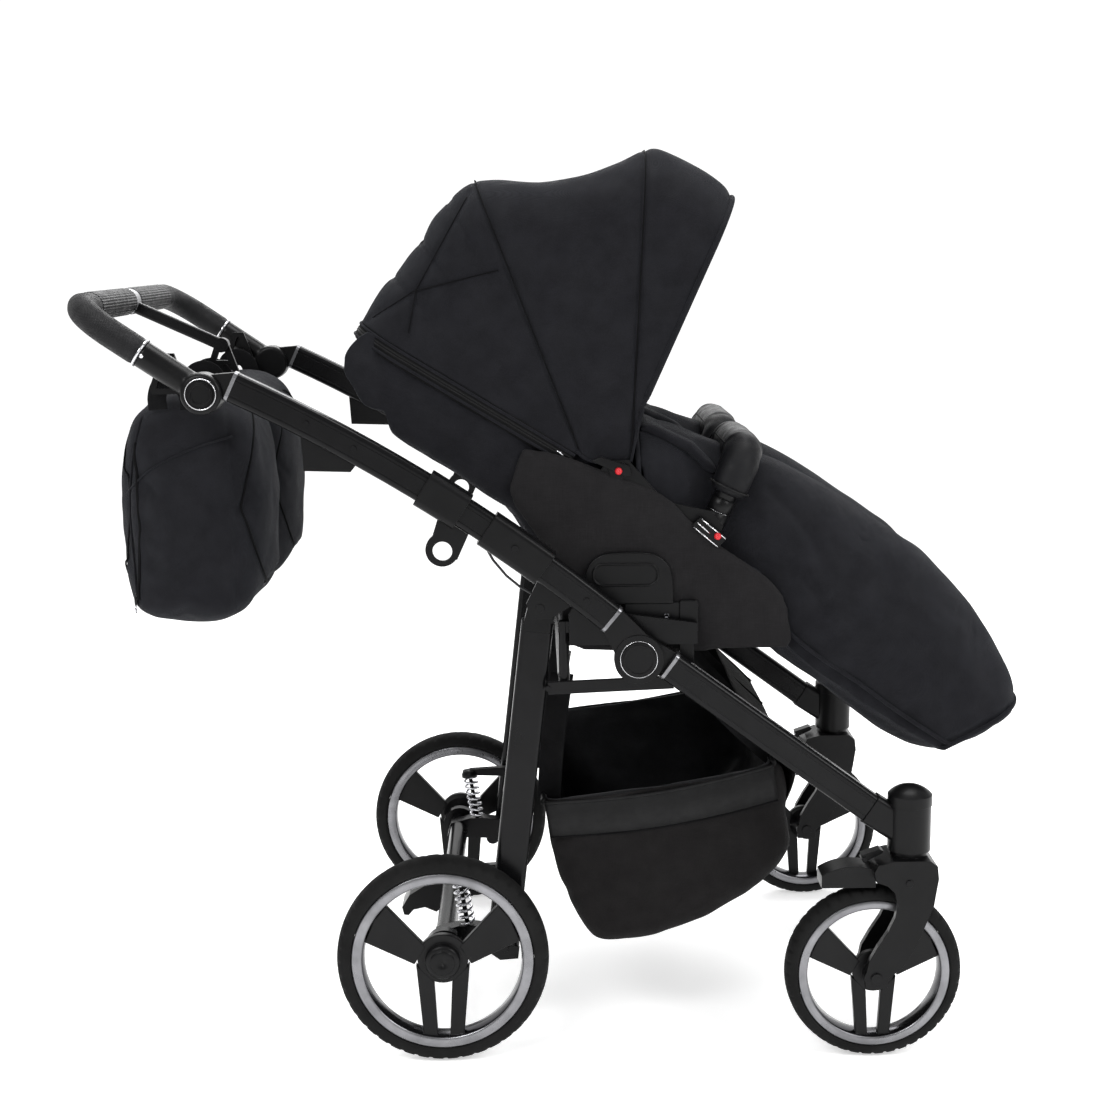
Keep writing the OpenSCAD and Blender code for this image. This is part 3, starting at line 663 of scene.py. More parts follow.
def canopy_point(u, s):
    """A point of the right canopy.

    u counts spokes, and s runs from the outer cheek's foot (-1) over the roof to the inner one (1).
    """
    low, high = spoke(u)
    reach = np.linalg.norm(high - low)
    corner = min(CORNER, reach * 0.3)
    a = abs(s)
    if a > 0.5:
        along, across = (1 - a) / 0.5 * (reach - corner), CHEEK
    elif a > 0.24:
        turn = (0.5 - a) / 0.26 * pi / 2
        along, across = reach - corner + corner * sin(turn), CHEEK - corner + corner * cos(turn)
    else:
        along, across = reach, (CHEEK - corner) * a / 0.24
    height = along / reach
    panel = (u - BOWS[0]) / (BOWS[1] - BOWS[0])
    if 0 < panel < 1:
        slack = sin(pi * panel)
        across -= 5 * slack * height * (a > 0.24)
        along -= 7 * slack * max(0, 1 - (a / 0.4) ** 2)
    elif u < BOWS[0]:
        back = u / BOWS[0]
        puff = abs(sin(pi * back * 4)) * sin(pi * min(1, back * 1.2)) if back > 0 else 0
        along += 4 * puff * max(0, 1 - (a / 0.55) ** 4)
        across -= 3 * sin(pi * back) * height
    else:
        along += 2 * sin(pi * (u - BOWS[1]) / 4)
    way = (high - low) / reach
    x, z = low + way * along
    return Vector((x, SEAT_Y + (-across if s < 0 else across), z))


def build_canopy():
    us = np.linspace(0, len(SPOKES) - 1, 150)
    ss = np.linspace(-1, 1, 150)
    cloth = grid("canopy", [[canopy_point(u, s) for s in ss] for u in us], ["soft_fabric"])
    long_way = sum((canopy_point(9, a) - canopy_point(9, b)).length for a, b in zip(ss, ss[1:]))
    round_way = sum((canopy_point(a, 0) - canopy_point(b, 0)).length for a, b in zip(us, us[1:]))
    tree = surface(cloth)
    out = (0, 1, 0)
    near_lines = [
        [(-118, -400, 1216), (-193, -400, 1084), (-205, -400, 1018)],
        [(-72, -400, 1112), (-197, -400, 1082), (-262, -400, 1042)],
    ]
    seams = [[canopy_point(b, s) for s in np.linspace(-1, 1, 240)] for b in BOWS]
    seams += [[canopy_point(6 * t / 4, s) for s in np.linspace(-0.5, 0.5, 90)] for t in (1, 2, 3)]
    flaps = [[p for p in cast(tree, line(points), out) if SEAT_Y - p.y > 70] for points in near_lines]
    flaps += [[Vector((p.x, 2 * SEAT_Y - p.y, p.z)) for p in flap] for flap in flaps]
    for seam in seams + flaps:
        groove(cloth, seam, 2.6, 4.5)
    rumple(cloth, 90, 3.0)
    rumple(cloth, 34, 0.9)
    area = sum(f.area for f in cloth.data.polygons)
    apply(cloth, "SOLIDIFY", thickness=3.2 * MM, offset=-1)
    pieces = [cloth]
    for b in BOWS:
        path = [canopy_point(b + 0.02, s) for s in np.linspace(-0.985, 0.985, 220)]
        pieces.append(sweep("piping", path, 1.0, ["thread"], 8))
    for flap in flaps:
        if len(flap) > 4:
            pieces.append(sweep("piping", flap[2:-2], 0.8, ["thread"], 6))
    rim = [canopy_point(len(SPOKES) - 1, s) for s in np.linspace(-1, 1, 200)]
    pieces.append(sweep("hem", rim, 4.2, ["soft_fabric"], 12))
    foot = [canopy_point(u, -1) for u in np.linspace(0.2, 15, 90)]
    for sign in (1, -1):
        path = [Vector((p.x, SEAT_Y + sign * (p.y - SEAT_Y), p.z)) for p in foot]
        pieces.append(sweep("hem", path, 2.2, ["soft_fabric"], 8))
    whole = join("canopy", pieces)
    whole["flat"] = [long_way * MM, round_way * MM, area]
    return whole


def build_canopies():
    whole = build_canopy()
    whole.name = "canopy_cloth_right"
    for side, piece in (("right", whole), ("left", mirrored(whole, "canopy_cloth_left"))):
        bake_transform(piece)
        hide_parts("canopy_rear_" + side, "canopy_front_" + side)


# ---- Zip under the canopy ----


def build_zips():
    """The zip that joins canopy and back: a flat tape with three cords, round both cheeks and the back."""
    low, high = (np.array(p, float) for p in SPOKES[0])
    way = (high - low) / np.linalg.norm(high - low)
    down = Vector((-abs(way[1]), 0, -abs(way[0])))
    path = []
    for s in np.linspace(-1, 1, 260):
        p = canopy_point(0, s)
        outwards = Vector((0, -1 if s < 0 else 1, 0)) if abs(s) > 0.37 else Vector((-0.85, 0, 0.5))
        path.append((p, outwards))
    parts = []
    for drop, radius, lift, kind in (
        (3, 2.0, 1.2, "soft_fabric"), (9, 1.3, 0.8, "band"), (12.4, 1.3, 0.8, "band"),
        (19, 2.0, 1.2, "soft_fabric"),
    ):
        points = [p + down * drop + o * lift for p, o in path]
        parts.append(sweep("cord", points, radius, [kind], 10))
    rows = [
        [p + down * d + o * (0.4 if 2 < d < 22 else -2.5) for d in (0, 3, 8, 14, 20, 23)]
        for p, o in path
    ]
    tape = grid("tape", rows, ["webbing"])
    apply(tape, "SOLIDIFY", thickness=1.6 * MM, offset=0)
    parts.append(tape)
    p, o = path[6]
    start = p + down * 10.5 + o * 2
    parts.append(
        sweep(
            "puller", [start, start + Vector((3, -1, -1)), start + Vector((9, -1.2, -6))], [1.8, 1.1, 1.5],
            ["silver"], 10,
        )
    )
    pair(join("zip", parts), "zip_piece", "seat_{}")


# ---- Seats ----


def build_seats():
    """The seat's padded liner, swollen from its CAD shell, and the woven panels that cover its sides."""
    cad = frame["nodes"]["seat_shell_right"]
    liner = cad.copy()
    liner.data = cad.data.copy()
    liner.name = "liner"
    liner.parent = None
    bpy.context.scene.collection.objects.link(liner)
    liner.data.materials.clear()
    liner.data.materials.append(M["soft_fabric"])
    for key in [k for k in liner.keys() if k.startswith("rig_")]:
        del liner[key]
    inflate(liner, 5.0, 5)
    # The back tucks in under the canopy's cheeks and the zip
    co = coordinates(liner) / MM
    above = co[:, 2] - (859 + (24 - co[:, 0]) * 0.6115)
    tuck = 1 / (1 + np.exp(-(above + 42) / 9)) * (co[:, 0] < 60)
    corner = np.hypot(co[:, 0] + 236, co[:, 2] - 976)
    back = (co[:, 0] < -236) * np.maximum(0, corner - 58)[:, None].T[0]
    co[:, 0] += back * (-236 - co[:, 0]) / np.maximum(corner, 1)
    co[:, 2] += back * (976 - co[:, 2]) / np.maximum(corner, 1)
    co[:, 1] = SEAT_Y + (co[:, 1] - SEAT_Y) * (1 - 0.085 * tuck)
    put(liner, co * MM)
    apply(liner, "SMOOTH", factor=0.5, iterations=4)
    tree = surface(liner)
    creases = [
        [(-258, -400, 925), (-150, -400, 868), (-60, -400, 806)],
        [(-300, -400, 990), (-262, -400, 962), (-120, -400, 900), (10, -400, 846)],
        [(-262, -400, 930), (-200, -400, 905), (-72, -400, 842)],
    ]
    for crease in creases:
        path = cast(tree, line(crease), (0, 1, 0))
        if len(path) > 3:
            groove(liner, path, 3.0, 6.0)
    rumple(liner, 60, 3.5, lambda co: 1.0 / (1 + np.exp((co[:, 0] + 50) / 8)))
    apply(liner, "SUBSURF", levels=1)
    pair(liner, "seat_liner", "seat_{}", ["seat_shell_{}"])
    outline = [
        (-50, 868), (-60, 846), (-70, 812), (-62, 786), (-41, 756), (-11, 711), (0, 657), (2, 594),
        (34, 581), (170, 578), (318, 583), (326, 596), (320, 640), (312, 660), (290, 685), (233, 724),
        (181, 768), (160, 792), (138, 808), (84, 829), (50, 842), (16, 855), (-20, 866),
    ]
    flat = [Vector((x, -291.2, z)) for x, z in line(outline + outline[:1], 3.5)[:-1]]
    for where, y0, y1 in (("outer", -291.4, -284.4), ("inner", -29.6, -22.6)):
        panel = plate("panel", [(p.x, p.z) for p in flat], y0, y1, ["side_fabric"], 0)
        inflate(panel, 3.2, 1.6, 2.0)
        edge = [(p.x, y0 if where == "outer" else y1, p.z) for p in flat]
        inset = [(x + (110 - x) * 0.035, y, z + (710 - z) * 0.035) for x, y, z in edge]
        groove(panel, inset, 0.9, 2.2)
        rumple(panel, 70, 1.6)
        rumple(panel, 24, 0.5)
        pair(panel, "seat_side_" + where, "seat_{}", ())


# ---- Leg covers ----

# The cover's sections in side view, from the lap down to the toes: crown, lower edge, half width
SECTIONS = [
    ((108, 898), (112, 808), 120),
    ((150, 884), (150, 780), 114),
    ((195, 866), (190, 736), 98),
    ((245, 850), (226, 700), 93),
    ((300, 836), (262, 676), 101),
    ((361, 806), (302, 606), 119),
    ((442, 757), (346, 562), 128),
    ((540, 683), (405, 522), 128),
    ((606, 602), (470, 476), 125),
    ((648, 536), (522, 444), 122),
    ((665, 488), (547, 431), 119),
]


def cover_point(u, s):
    """A point of the cover's arch: u counts sections, s runs from the outer edge (-1) to the inner (1)."""
    i = min(int(u), len(SECTIONS) - 2)
    t = u - i
    rows = [SECTIONS[min(max(i + k, 0), len(SECTIONS) - 1)] for k in (-1, 0, 1, 2)]
    p = [np.array([*top, *low, half], float) for top, low, half in rows]
    v = catmull(*p, t)
    angle = s * pi / 2
    sharp = 0.62
    across = v[4] * (abs(sin(angle)) ** sharp) * (1 if s > 0 else -1)
    rise = abs(cos(angle)) ** sharp
    x, z = v[2:4] + (v[0:2] - v[2:4]) * rise
    return Vector((x, SEAT_Y + across, z))


def under_point(u, s):
    """A point of the cover's underside, slack between the arch's two edges."""
    edge = cover_point(u, -1)
    sag = 16 * (1 - s * s)
    half = abs(edge.y - SEAT_Y)
    return Vector((edge.x - sag * 0.55, SEAT_Y + half * s, edge.z - sag * 0.8))


def build_leg_cover():
    last = len(SECTIONS) - 1
    across = np.linspace(-1, 1, 84)
    arch = grid(
        "arch", [[cover_point(u, s) for s in across] for u in np.linspace(0, last, 150)], ["soft_fabric"]
    )
    under = grid(
        "under", [[under_point(u, s) for s in np.linspace(-1, 1, 50)] for u in np.linspace(4.2, last, 90)],
        ["soft_fabric"],
    )
    ends = [
        [cover_point(last, s).lerp(under_point(last, s), t) for s in np.linspace(-0.98, 0.98, 50)]
        for t in np.linspace(0, 1, 14)
    ]
    cover = join("cover", [arch, under, grid("toe", ends, ["soft_fabric"])])
    apply(cover, "SOLIDIFY", thickness=7 * MM, offset=-1)
    inflate(cover, 4.4, 4.5, 3.0)
    folds = [
        ([(300, -400, 800), (352, -400, 740), (372, -400, 690)], 5, 10),
        ([(292, -400, 700), (330, -400, 690), (372, -400, 640)], 5, 9),
        ([(330, -400, 610), (370, -400, 640), (420, -400, 700)], 3.5, 10),
        ([(345, -400, 575), (400, -400, 600), (470, -400, 640)], 3.0, 12),
        ([(420, -400, 530), (470, -400, 545), (560, -400, 590)], 2.5, 14),
    ]
    tree = surface(cover)
    for points, depth, width in folds:
        path = cast(tree, line(smooth_path(points, 12)), (0, 1, 0))
        if len(path) > 3:
            groove(cover, path, depth, width)
            groove(cover, [Vector((p.x, 2 * SEAT_Y - p.y, p.z)) for p in path], depth, width)
    groove(cover, [cover_point(last - 0.28, s) for s in np.linspace(-1, 1, 120)], 2.0, 3.5)
    rumple(cover, 120, 7.0)
    rumple(cover, 48, 2.2)
    apply(cover, "SUBSURF", levels=1)
    hem = [cover_point(last - 0.05, s) for s in np.linspace(-1, 1, 100)] + [
        under_point(last - 0.05, s)
        for s in np.linspace(0.96, -0.96, 60)
    ]
    bead = sweep("hem", hem, 3.4, ["soft_fabric"], 10, closed=True)
    edge = sweep("hem", [cover_point(0, s) for s in np.linspace(-1, 1, 90)], 3.6, ["soft_fabric"], 10)
    sides = [
        sweep(
            "hem", [cover_point(u, s) for u in np.linspace(4.4, last - 0.1, 80)], 3.0, ["soft_fabric"], 10
        )
        for s in (-0.99, 0.99)
    ]
    piece = join("cover", [cover, bead, edge] + sides)
    blend = ("seat_{}", "leg_cover_{}", (215, SEAT_Y, 850), (350, SEAT_Y, 740))
    pair(piece, "leg_cover_cloth", None, ["leg_cover_{}"], blend)


# ---- Bumpers ----

BUMPER_P = Vector((216, SEAT_Y, 759))
LEAN = radians(24.4)
UP = Vector((sin(LEAN), 0, cos(LEAN)))


def bumper_path(half, reach, bend, start=0.0, count=120):
    """The arch's line, from its outer foot over to its inner foot."""
    legs = [(-half, start), (-half, reach - bend)]
    turn = [
        (-half + bend * (1 - cos(a)), reach - bend + bend * sin(a))
        for a in np.linspace(0, pi / 2, 10)[1:]
    ]
    one = legs + turn
    outline = one + [(-y, r) for y, r in reversed(one)]
    return [BUMPER_P + Vector((0, y, 0)) + UP * r for y, r in smooth_path(outline, count)]


def build_bumpers():
    arm = sweep("arm", bumper_path(107, 106, 40, -14), 10.5, ["frame_plastic"], 24)
    parts = [arm]
    for sign in (-1, 1):
        foot = BUMPER_P + Vector((0, sign * 107, 0))
        for low, high, radius, kind in (
            (-14, 16, 17.2, "frame_plastic"), (16, 17.2, 18, "silver"), (17.2, 36, 17.6, "frame_plastic"),
            (36, 62, 16, "frame_plastic"),
        ):
            rings = [foot + UP * low, foot + UP * (low + 0.7), foot + UP * (high - 0.7), foot + UP * high]
            parts.append(sweep("socket", rings, [radius - 0.8, radius, radius, radius - 0.8], [kind], 32))
    pair(join("arms", parts), "bumper_arms", "bumper_{}", ["bumper_{}"])
    path = bumper_path(107, 106, 40, 44, 170)

    def padding(angle, share):
        end = min(share, 1 - share)
        swell = 1 + 0.05 * sin(pi * share) - 0.16 * max(0, 1 - end / 0.02)
        crease = 0.035 * sin(angle * 3 + share * 40) * max(0, 1 - abs(end - 0.24) / 0.14)
        return swell + crease

    pad = sweep("pad", path, 26.5, ["leather"], 40, shape=padding)
    inflate(pad, 3.0, 2.5, 3.0)
    cuffs = []
    for share in (0.035, 0.30, 0.70, 0.965):
        i = int(share * (len(path) - 1))
        ahead = (path[i + 1] - path[i - 1]).normalized()
        out = UP if 0.2 < share < 0.8 else Vector((0, -1 if share < 0.5 else 1, 0))
        side = ahead.cross(out).normalized()
        radius = 28.6 if share in (0.035, 0.965) else 28.2
        ring = [path[i] + (side * cos(a) + ahead.cross(side) * sin(a)) * radius for a in full_turn(40)]
        groove(pad, ring, 1.6, 3.0)
        if share in (0.035, 0.965):
            cuffs.append(sweep("cuff", ring, 1.5, ["band"], 8, closed=True))
    rumple(pad, 20, 1.0)
    apply(pad, "SUBSURF", levels=1)
    top = path[int(0.1 * len(path)) : int(0.9 * len(path))]
    back = Vector((-cos(LEAN), 0, sin(LEAN)))
    cuffs.append(sweep("flap", [p + back * 27.4 for p in top], 1.1, ["thread"], 8))
    pair(join("pad", [pad] + cuffs), "bumper_pad", "bumper_{}", ())


def rounded(left, right, low, high, radius, count=8):
    """A rectangle's outline in XZ with round corners."""
    corners = (
        (right - radius, high - radius, 0), (left + radius, high - radius, 1),
        (left + radius, low + radius, 2), (right - radius, low + radius, 3),
    )
    return [
        (x + radius * cos(a), z + radius * sin(a))
        for x, z, quarter in corners
        for a in np.linspace(quarter * pi / 2, (quarter + 1) * pi / 2, count)
    ]


def docking_fitting(y0, y1, face):
    """The round-topped fitting with its recessed slot, over a flat bar with a raised end.

    face is the side that is seen: -1 or 1.
    """
    cover = [
        (34, 650), (34, 686), (38, 702), (48, 714), (62, 721), (84, 723), (112, 723), (134, 719),
        (149, 707), (156, 690), (158, 650),
    ]
    body = plate("cover", [tuple(p) for p in smooth_path(cover, 60)], y0, y1, ["frame_plastic"], 2.2, 3)
    depth = -5 if face > 0 else 5
    edge = y1 if face > 0 else y0
    slot = rounded(46, 136, 677, 707, 14)
    cutter = plate(
        "slot", slot, min(edge - face, edge + depth), max(edge + face, edge + depth), ["frame_plastic"], 0
    )
    apply(body, "BOOLEAN", object=cutter, operation="DIFFERENCE")
    bpy.data.objects.remove(cutter)
    outside = edge + 0.4 * face
    parts = [body, sweep("rim", [(x, outside, z) for x, z in slot], 1.7, ["frame_plastic"], 10, closed=True)]
    parts.append(
        plate(
            "grip", rounded(58, 124, 685, 699, 6.5), edge + depth - 1 * face, edge + depth + 2.6 * face,
            ["frame_plastic"], 1.0,
        )
    )
    parts.append(plate("bar", rounded(90, 190, 613, 652, 3), y0 + 1.5, y1 - 1.5, ["frame_plastic"], 1.2))
    parts.append(plate("end", rounded(166, 192, 609, 655, 4), y0 - 1.2, y1 + 1.2, ["frame_plastic"], 1.4))
    parts.append(plate("foot", rounded(162, 189, 600, 616, 2), y0 + 2, y1 - 2, ["frame_plastic"], 0))
    screw = [(0.01, -1.4), (1.5, -1.4), (1.9, -2.2), (3.4, -2.2), (4.2, -1.4), (4.4, 0.5), (0.01, 0.5)]
    if face < 0:
        parts.append(turned("screw", screw, (148, outside + 1.2, 633), ["rim_barrel"], 32))
    return join("fitting", parts)


def build_fittings():
    outer, inner = docking_fitting(-302.0, -292.0, -1), docking_fitting(-22.0, -13.0, 1)
    hubs = [
        turned("hub", [(0.01, 0), (10, 0), (10, 9), (0.01, 9)], (97, y, 677), ["frame_plastic"], 32)
        for y in (-292.5, -31)
    ]
    pair(
        join("fittings", [outer, inner] + hubs), "docking_fittings", "frame", ["seat_adapters"],
    )


def build_buttons():
    """Small domed red buttons on the seats' brackets."""
    dome = [(0.01, -1.6), (2.2, -1.4), (3.8, -0.6), (4.8, 0.8), (5, 2), (5, 13), (0.01, 13)]
    for name, x, z in (("bumper_button", 219, 744), ("canopy_button", 82, 836)):
        pair(
            turned("button", dome, (x, -301, z), ["red_plastic"], 48), name + "_dome", name + "_{}",
            [name + "_{}"],
        )


def build_joint_rings():
    """Thin bright rings let into the fold joints' covers."""
    for radius in (18.6, 24.5):
        ring = turned(
            "ring", [(radius, 0), (radius + 0.5, -0.8), (radius + 1.1, -0.8), (radius + 1.6, 0)],
            (107, -349.8, 582), ["silver"], 80,
        )
        pair(ring, "joint_ring_%d" % radius, "frame", ())


def build_brackets():
    """Brackets on the seat's sides: the bumper's, with silver edges, and the small one under the canopy."""
    y0, y1 = -299.0, -290.0
    bumper = [(184, 760), (196, 771), (232, 741), (219, 727)]
    parts = [plate("bracket", bumper, y0 + 1.5, y1, ["frame_plastic"], 1.2)]
    for a, b in (((186, 757), (219, 729)), ((191, 763), (208, 748)), ((197, 768), (230, 740))):
        parts.append(sweep("edge", [(a[0], y0 + 1.3, a[1]), (b[0], y0 + 1.3, b[1])], 1.0, ["silver"], 8))
    canopy = [(44, 850), (58, 856), (98, 842), (100, 830), (92, 828)]
    parts.append(plate("bracket", canopy, y0 + 2, y1, ["frame_plastic"], 1.2))
    pair(join("brackets", parts), "seat_brackets", "seat_{}", ())


# ---- Bags ----

# The bag's levels: height, rear x, front x, half width, corner radius
LEVELS = [
    (628, -578, -468, 116, 30),
    (640, -594, -454, 132, 34),
    (664, -600, -446, 139, 36),
    (720, -603, -441, 142, 38),
    (800, -604, -441, 142, 38),
    (860, -600, -442, 140, 38),
    (905, -588, -450, 133, 36),
    (932, -566, -466, 118, 34),
    (944, -548, -484, 98, 24),
]
BAG_Y = -155


def bag_ring(level, count=72):
    z, back, front, half, corner = level
    cx, rx = (back + front) / 2, (front - back) / 2
    ring = []
    for k in range(count):
        a = 2 * pi * k / count
        ex = 0.42 if rx > 40 else 0.6
        aside = abs(sin(a)) ** ex
        bulge = 24 * (1 - aside**3) * (rx / 81) if cos(a) > 0 else -5
        ring.append(
            (
                cx + rx * (abs(cos(a)) ** ex) * (1 if cos(a) > 0 else -1) + bulge,
                BAG_Y + half * aside * (1 if sin(a) > 0 else -1), z,
            )
        )
    return ring


def build_bags():
    heights = smooth_path([level for level in LEVELS], 46)
    body = grid("bag", [bag_ring(level) for level in heights], ["soft_fabric"], False, True, True)
    inflate(body, 5.0, 7, 3.0)
    tree = surface(body)
    lines = [
        [(-452, -500, 640), (-447, -500, 800), (-458, -500, 936)],
        [(-597, -500, 812), (-560, -500, 844), (-504, -500, 871), (-450, -500, 887)],
        [(-598, -500, 790), (-556, -500, 820), (-512, -500, 838), (-450, -500, 854)],
        [(-590, -500, 650), (-596, -500, 800), (-574, -500, 915)],
    ]
    parts = []
    for i, points in enumerate(lines):
        path = cast(tree, line(smooth_path(points, 16)), (0, 1, 0))
        groove(body, path, 2.4 if i != 2 else 1.4, 4.0)
        other = [Vector((p.x, 2 * BAG_Y - p.y, p.z)) for p in path]
        groove(body, other, 2.0, 4.0)
        if i in (1, 3):
            parts.append(sweep("piping", [p + Vector((0, -0.4, 0)) for p in path], 1.5, ["soft_fabric"], 8))
    for x, way in ((-700, 1), (-300, -1)):
        loop = [(x, BAG_Y + 112 * cos(a), 790 + 128 * sin(a)) for a in np.linspace(0, 2 * pi, 140)]
        path = cast(tree, loop, (way, 0, 0))
        if len(path) > 10:
            groove(body, path, 2.2, 4.0)
            parts.append(sweep("piping", path, 1.4, ["thread"], 8))
    rumple(body, 85, 5.0)
    rumple(body, 30, 1.4)
    apply(body, "SUBSURF", levels=1)
    # The zip up the back edge, with its puller near the floor of the bag
    track = cast(tree, line([(-700, -278, 660), (-700, -286, 760), (-700, -282, 880)]), (1, 0, 0))
    if len(track) > 4:
        parts.append(sweep("zip", track, 2.4, ["thread"], 8))
        end = track[0]
        parts.append(
            sweep(
                "slider", [end + Vector((-2, 0, 8)), end + Vector((-4, 0, 0)), end + Vector((-5, 0, -8))],
                [2.6, 3.0, 1.6], ["frame_metal"], 10,
            )
        )
        parts.append(
            sweep(
                "ring", [end + Vector((-5, 4 * cos(a), -14 + 6 * sin(a))) for a in full_turn(20)], 1.0,
                ["silver"], 8, closed=True,
            )
        )
    pair(join("bag", [body] + parts), "bag_body", "bag_{}", ["bag_{}"])
    straps = []
    for y, top in ((-284, 958), (-34, 958)):
        loop = [
            (-548, y, 925), (-549, y, 942), (-543, y, top), (-528, y, top + 6), (-514, y, top),
            (-506, y, 942), (-505, y, 925),
        ]
        straps.append(sweep("loop", smooth_path(loop, 50), 1, ["webbing"], 16, flat=(26, 2.4, (0, 1, 0))))
    pair(join("straps", straps), "bag_straps", "bag_{}", ())


# ---- Basket ----

PROFILE = [
    (-26, 355), (-18, 300), (-6, 248), (13, 198), (34, 155), (58, 138), (96, 138), (146, 149), (208, 172),
    (270, 208), (308, 238), (328, 272), (329, 330), (323, 388), (306, 408),
]
RIM_MID = np.array((140, 381), float)
HALF_BASKET = 262


def basket_point(u, v, path, inset):
    """u along the outline, v from -1 to 1 across; past 0.8 the surface turns into the side panels."""
    p = np.array(path[u], float)
    a = abs(v)
    corner = 26 - inset
    if a <= 0.6:
        y, shrink = a / 0.6 * (HALF_BASKET - inset - corner), 0.0
    elif a <= 0.72:
        turn = (a - 0.6) / 0.12 * pi / 2
        y, shrink = HALF_BASKET - inset - corner + corner * sin(turn), corner * (1 - cos(turn))
    else:
        y, shrink = HALF_BASKET - inset, corner
    to_mid = RIM_MID - p
    length = max(np.linalg.norm(to_mid), 1e-6)
    p = p + to_mid / length * min(shrink + inset, length)
    if a > 0.72:
        share = (a - 0.72) / 0.28
        p = p + (RIM_MID - p) * share
        y += 5 * sin(pi * share) * (1 if not inset else -1)
    rim = max(0, 1 - (RIM_MID[1] + 10 - p[1]) / 60)
    p[1] -= 9 * rim * (1 - ((p[0] - 140) / 170) ** 2)
    return Vector((p[0], -y if v < 0 else y, p[1]))


def build_basket():
    path = smooth_path(PROFILE, 110)
    vs = np.linspace(-1, 1, 190)
    shells = []
    for inset, kind, depth in ((0, "basket_fabric", 3.5), (7, "lining", 5.0)):
        rows = [[basket_point(u, v, path, inset) for v in vs] for u in range(len(path))]
        shell = grid("shell", rows, [kind])
        tidy(shell, 0.4)
        rumple(shell, 70, depth, stretch=(1, 0.6, 1.6))
        rumple(shell, 26, depth * 0.35, stretch=(1, 0.7, 1.4))
        apply(shell, "SOLIDIFY", thickness=2.0 * MM, offset=-1 if not inset else 1)
        shells.append(shell)
    outer, lining = shells
    # The lighter band along each side's rim
    top = [(-24, 352), (60, 357), (140, 366), (230, 384), (304, 404)]
    upper = smooth_path(top, 60)
    bands = []
    for sign in (-1, 1):
        rows = []
        for d in (0, 2, 26, 48, 50):
            rows.append(
                [
                    (x + d * 0.16, sign * (HALF_BASKET + 4.6 + (1.2 if 1 < d < 49 else -1.5)), z - d * 0.98)
                    for x, z in upper
                ]
            )
        band = grid("band", rows, ["band"])
        apply(band, "SOLIDIFY", thickness=1.6 * MM, offset=0)
        bands.append(band)
        seam = [(x + 8, sign * (HALF_BASKET + 6), z - 49) for x, z in upper]
        bands.append(sweep("piping", seam, 1.3, ["thread"], 8))
        rim = [(x, sign * (HALF_BASKET + 3.4), z + 1) for x, z in upper]
        bands.append(sweep("hem", rim, 3.0, ["band"], 10))
    for end in (0, -1):
        x, z = path[end]
        bands.append(
            sweep("hem", [(x, y, z) for y in np.linspace(-HALF_BASKET, HALF_BASKET, 60)], 3.4, ["band"], 10)
        )
    piece = join("basket_shell", [outer, lining] + bands)
    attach(piece, "frame")
    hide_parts("basket")
    number = 0
    for low, high in (((313, 407), (184, 541)), ((-17, 357), (3, 536))):
        for y in (-226, -70, 70, 226):
            number += 1
            a, b = np.array(low, float), np.array(high, float)
            end = 1.22 if low[0] > 0 else 1.0
            points = [
                a + (b - a) * t + np.array((-3 * sin(pi * t), -3 * sin(pi * t)))
                for t in np.linspace(-0.05, end, 24)
            ]
            strap = sweep(
                "basket_strap_%d" % number, [(x, y, z) for x, z in points], 1, ["webbing"], 16,
                flat=(34, 1.8, (0, 1, 0)),
            )
            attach(strap, "frame")
            if number == 1:
                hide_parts("basket_straps")
    # The basket's front wall carries on up, past the rim, behind the webbing
    wall = [(325, 336), (333, 366), (336, 394), (325, 415), (292, 449), (269, 473)]
    rows = []
    for x, z in smooth_path(wall, 30):
        side = HALF_BASKET - 26 + 18 * min(1, max(0, (z - 336) / 50)) - 20 * max(0, (z - 430) / 43)
        rows.append([(x, y, z) for y in np.linspace(-side, side, 60)])
    front = grid("basket_front", rows, ["basket_fabric"])
    rumple(front, 60, 2, stretch=(1, 0.6, 1.4))
    apply(front, "SOLIDIFY", thickness=1.8 * MM, offset=-1)
    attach(front, "frame")


# ---- Handle ----

TILT = Vector((-477, 0, 951))
HANDLE_A = radians(34)
BACK = Vector((-cos(HANDLE_A), 0, sin(HANDLE_A)))
REACH, BEND = 203, 62


def handle_line(start, count):
    """The right half of the bar, from start along the arm to the middle."""
    arm = [TILT + Vector((0, -SIDE_Y, 0)) + BACK * r for r in np.linspace(start, REACH - BEND, 8)]
    centre = TILT + Vector((0, -SIDE_Y + BEND, 0)) + BACK * (REACH - BEND)
    bend = [
        centre + Vector((0, -1, 0)) * (BEND * cos(a)) + BACK * (BEND * sin(a))
        for a in np.linspace(0, pi / 2, 14)[1:]
    ]
    middle = TILT + BACK * REACH + Vector((0, -14.4, 0))
    return [
        Vector(p)
        for p in smooth_path([tuple(p) for p in arm + bend + [middle.lerp(bend[-1], 0.5), middle]], count)
    ]


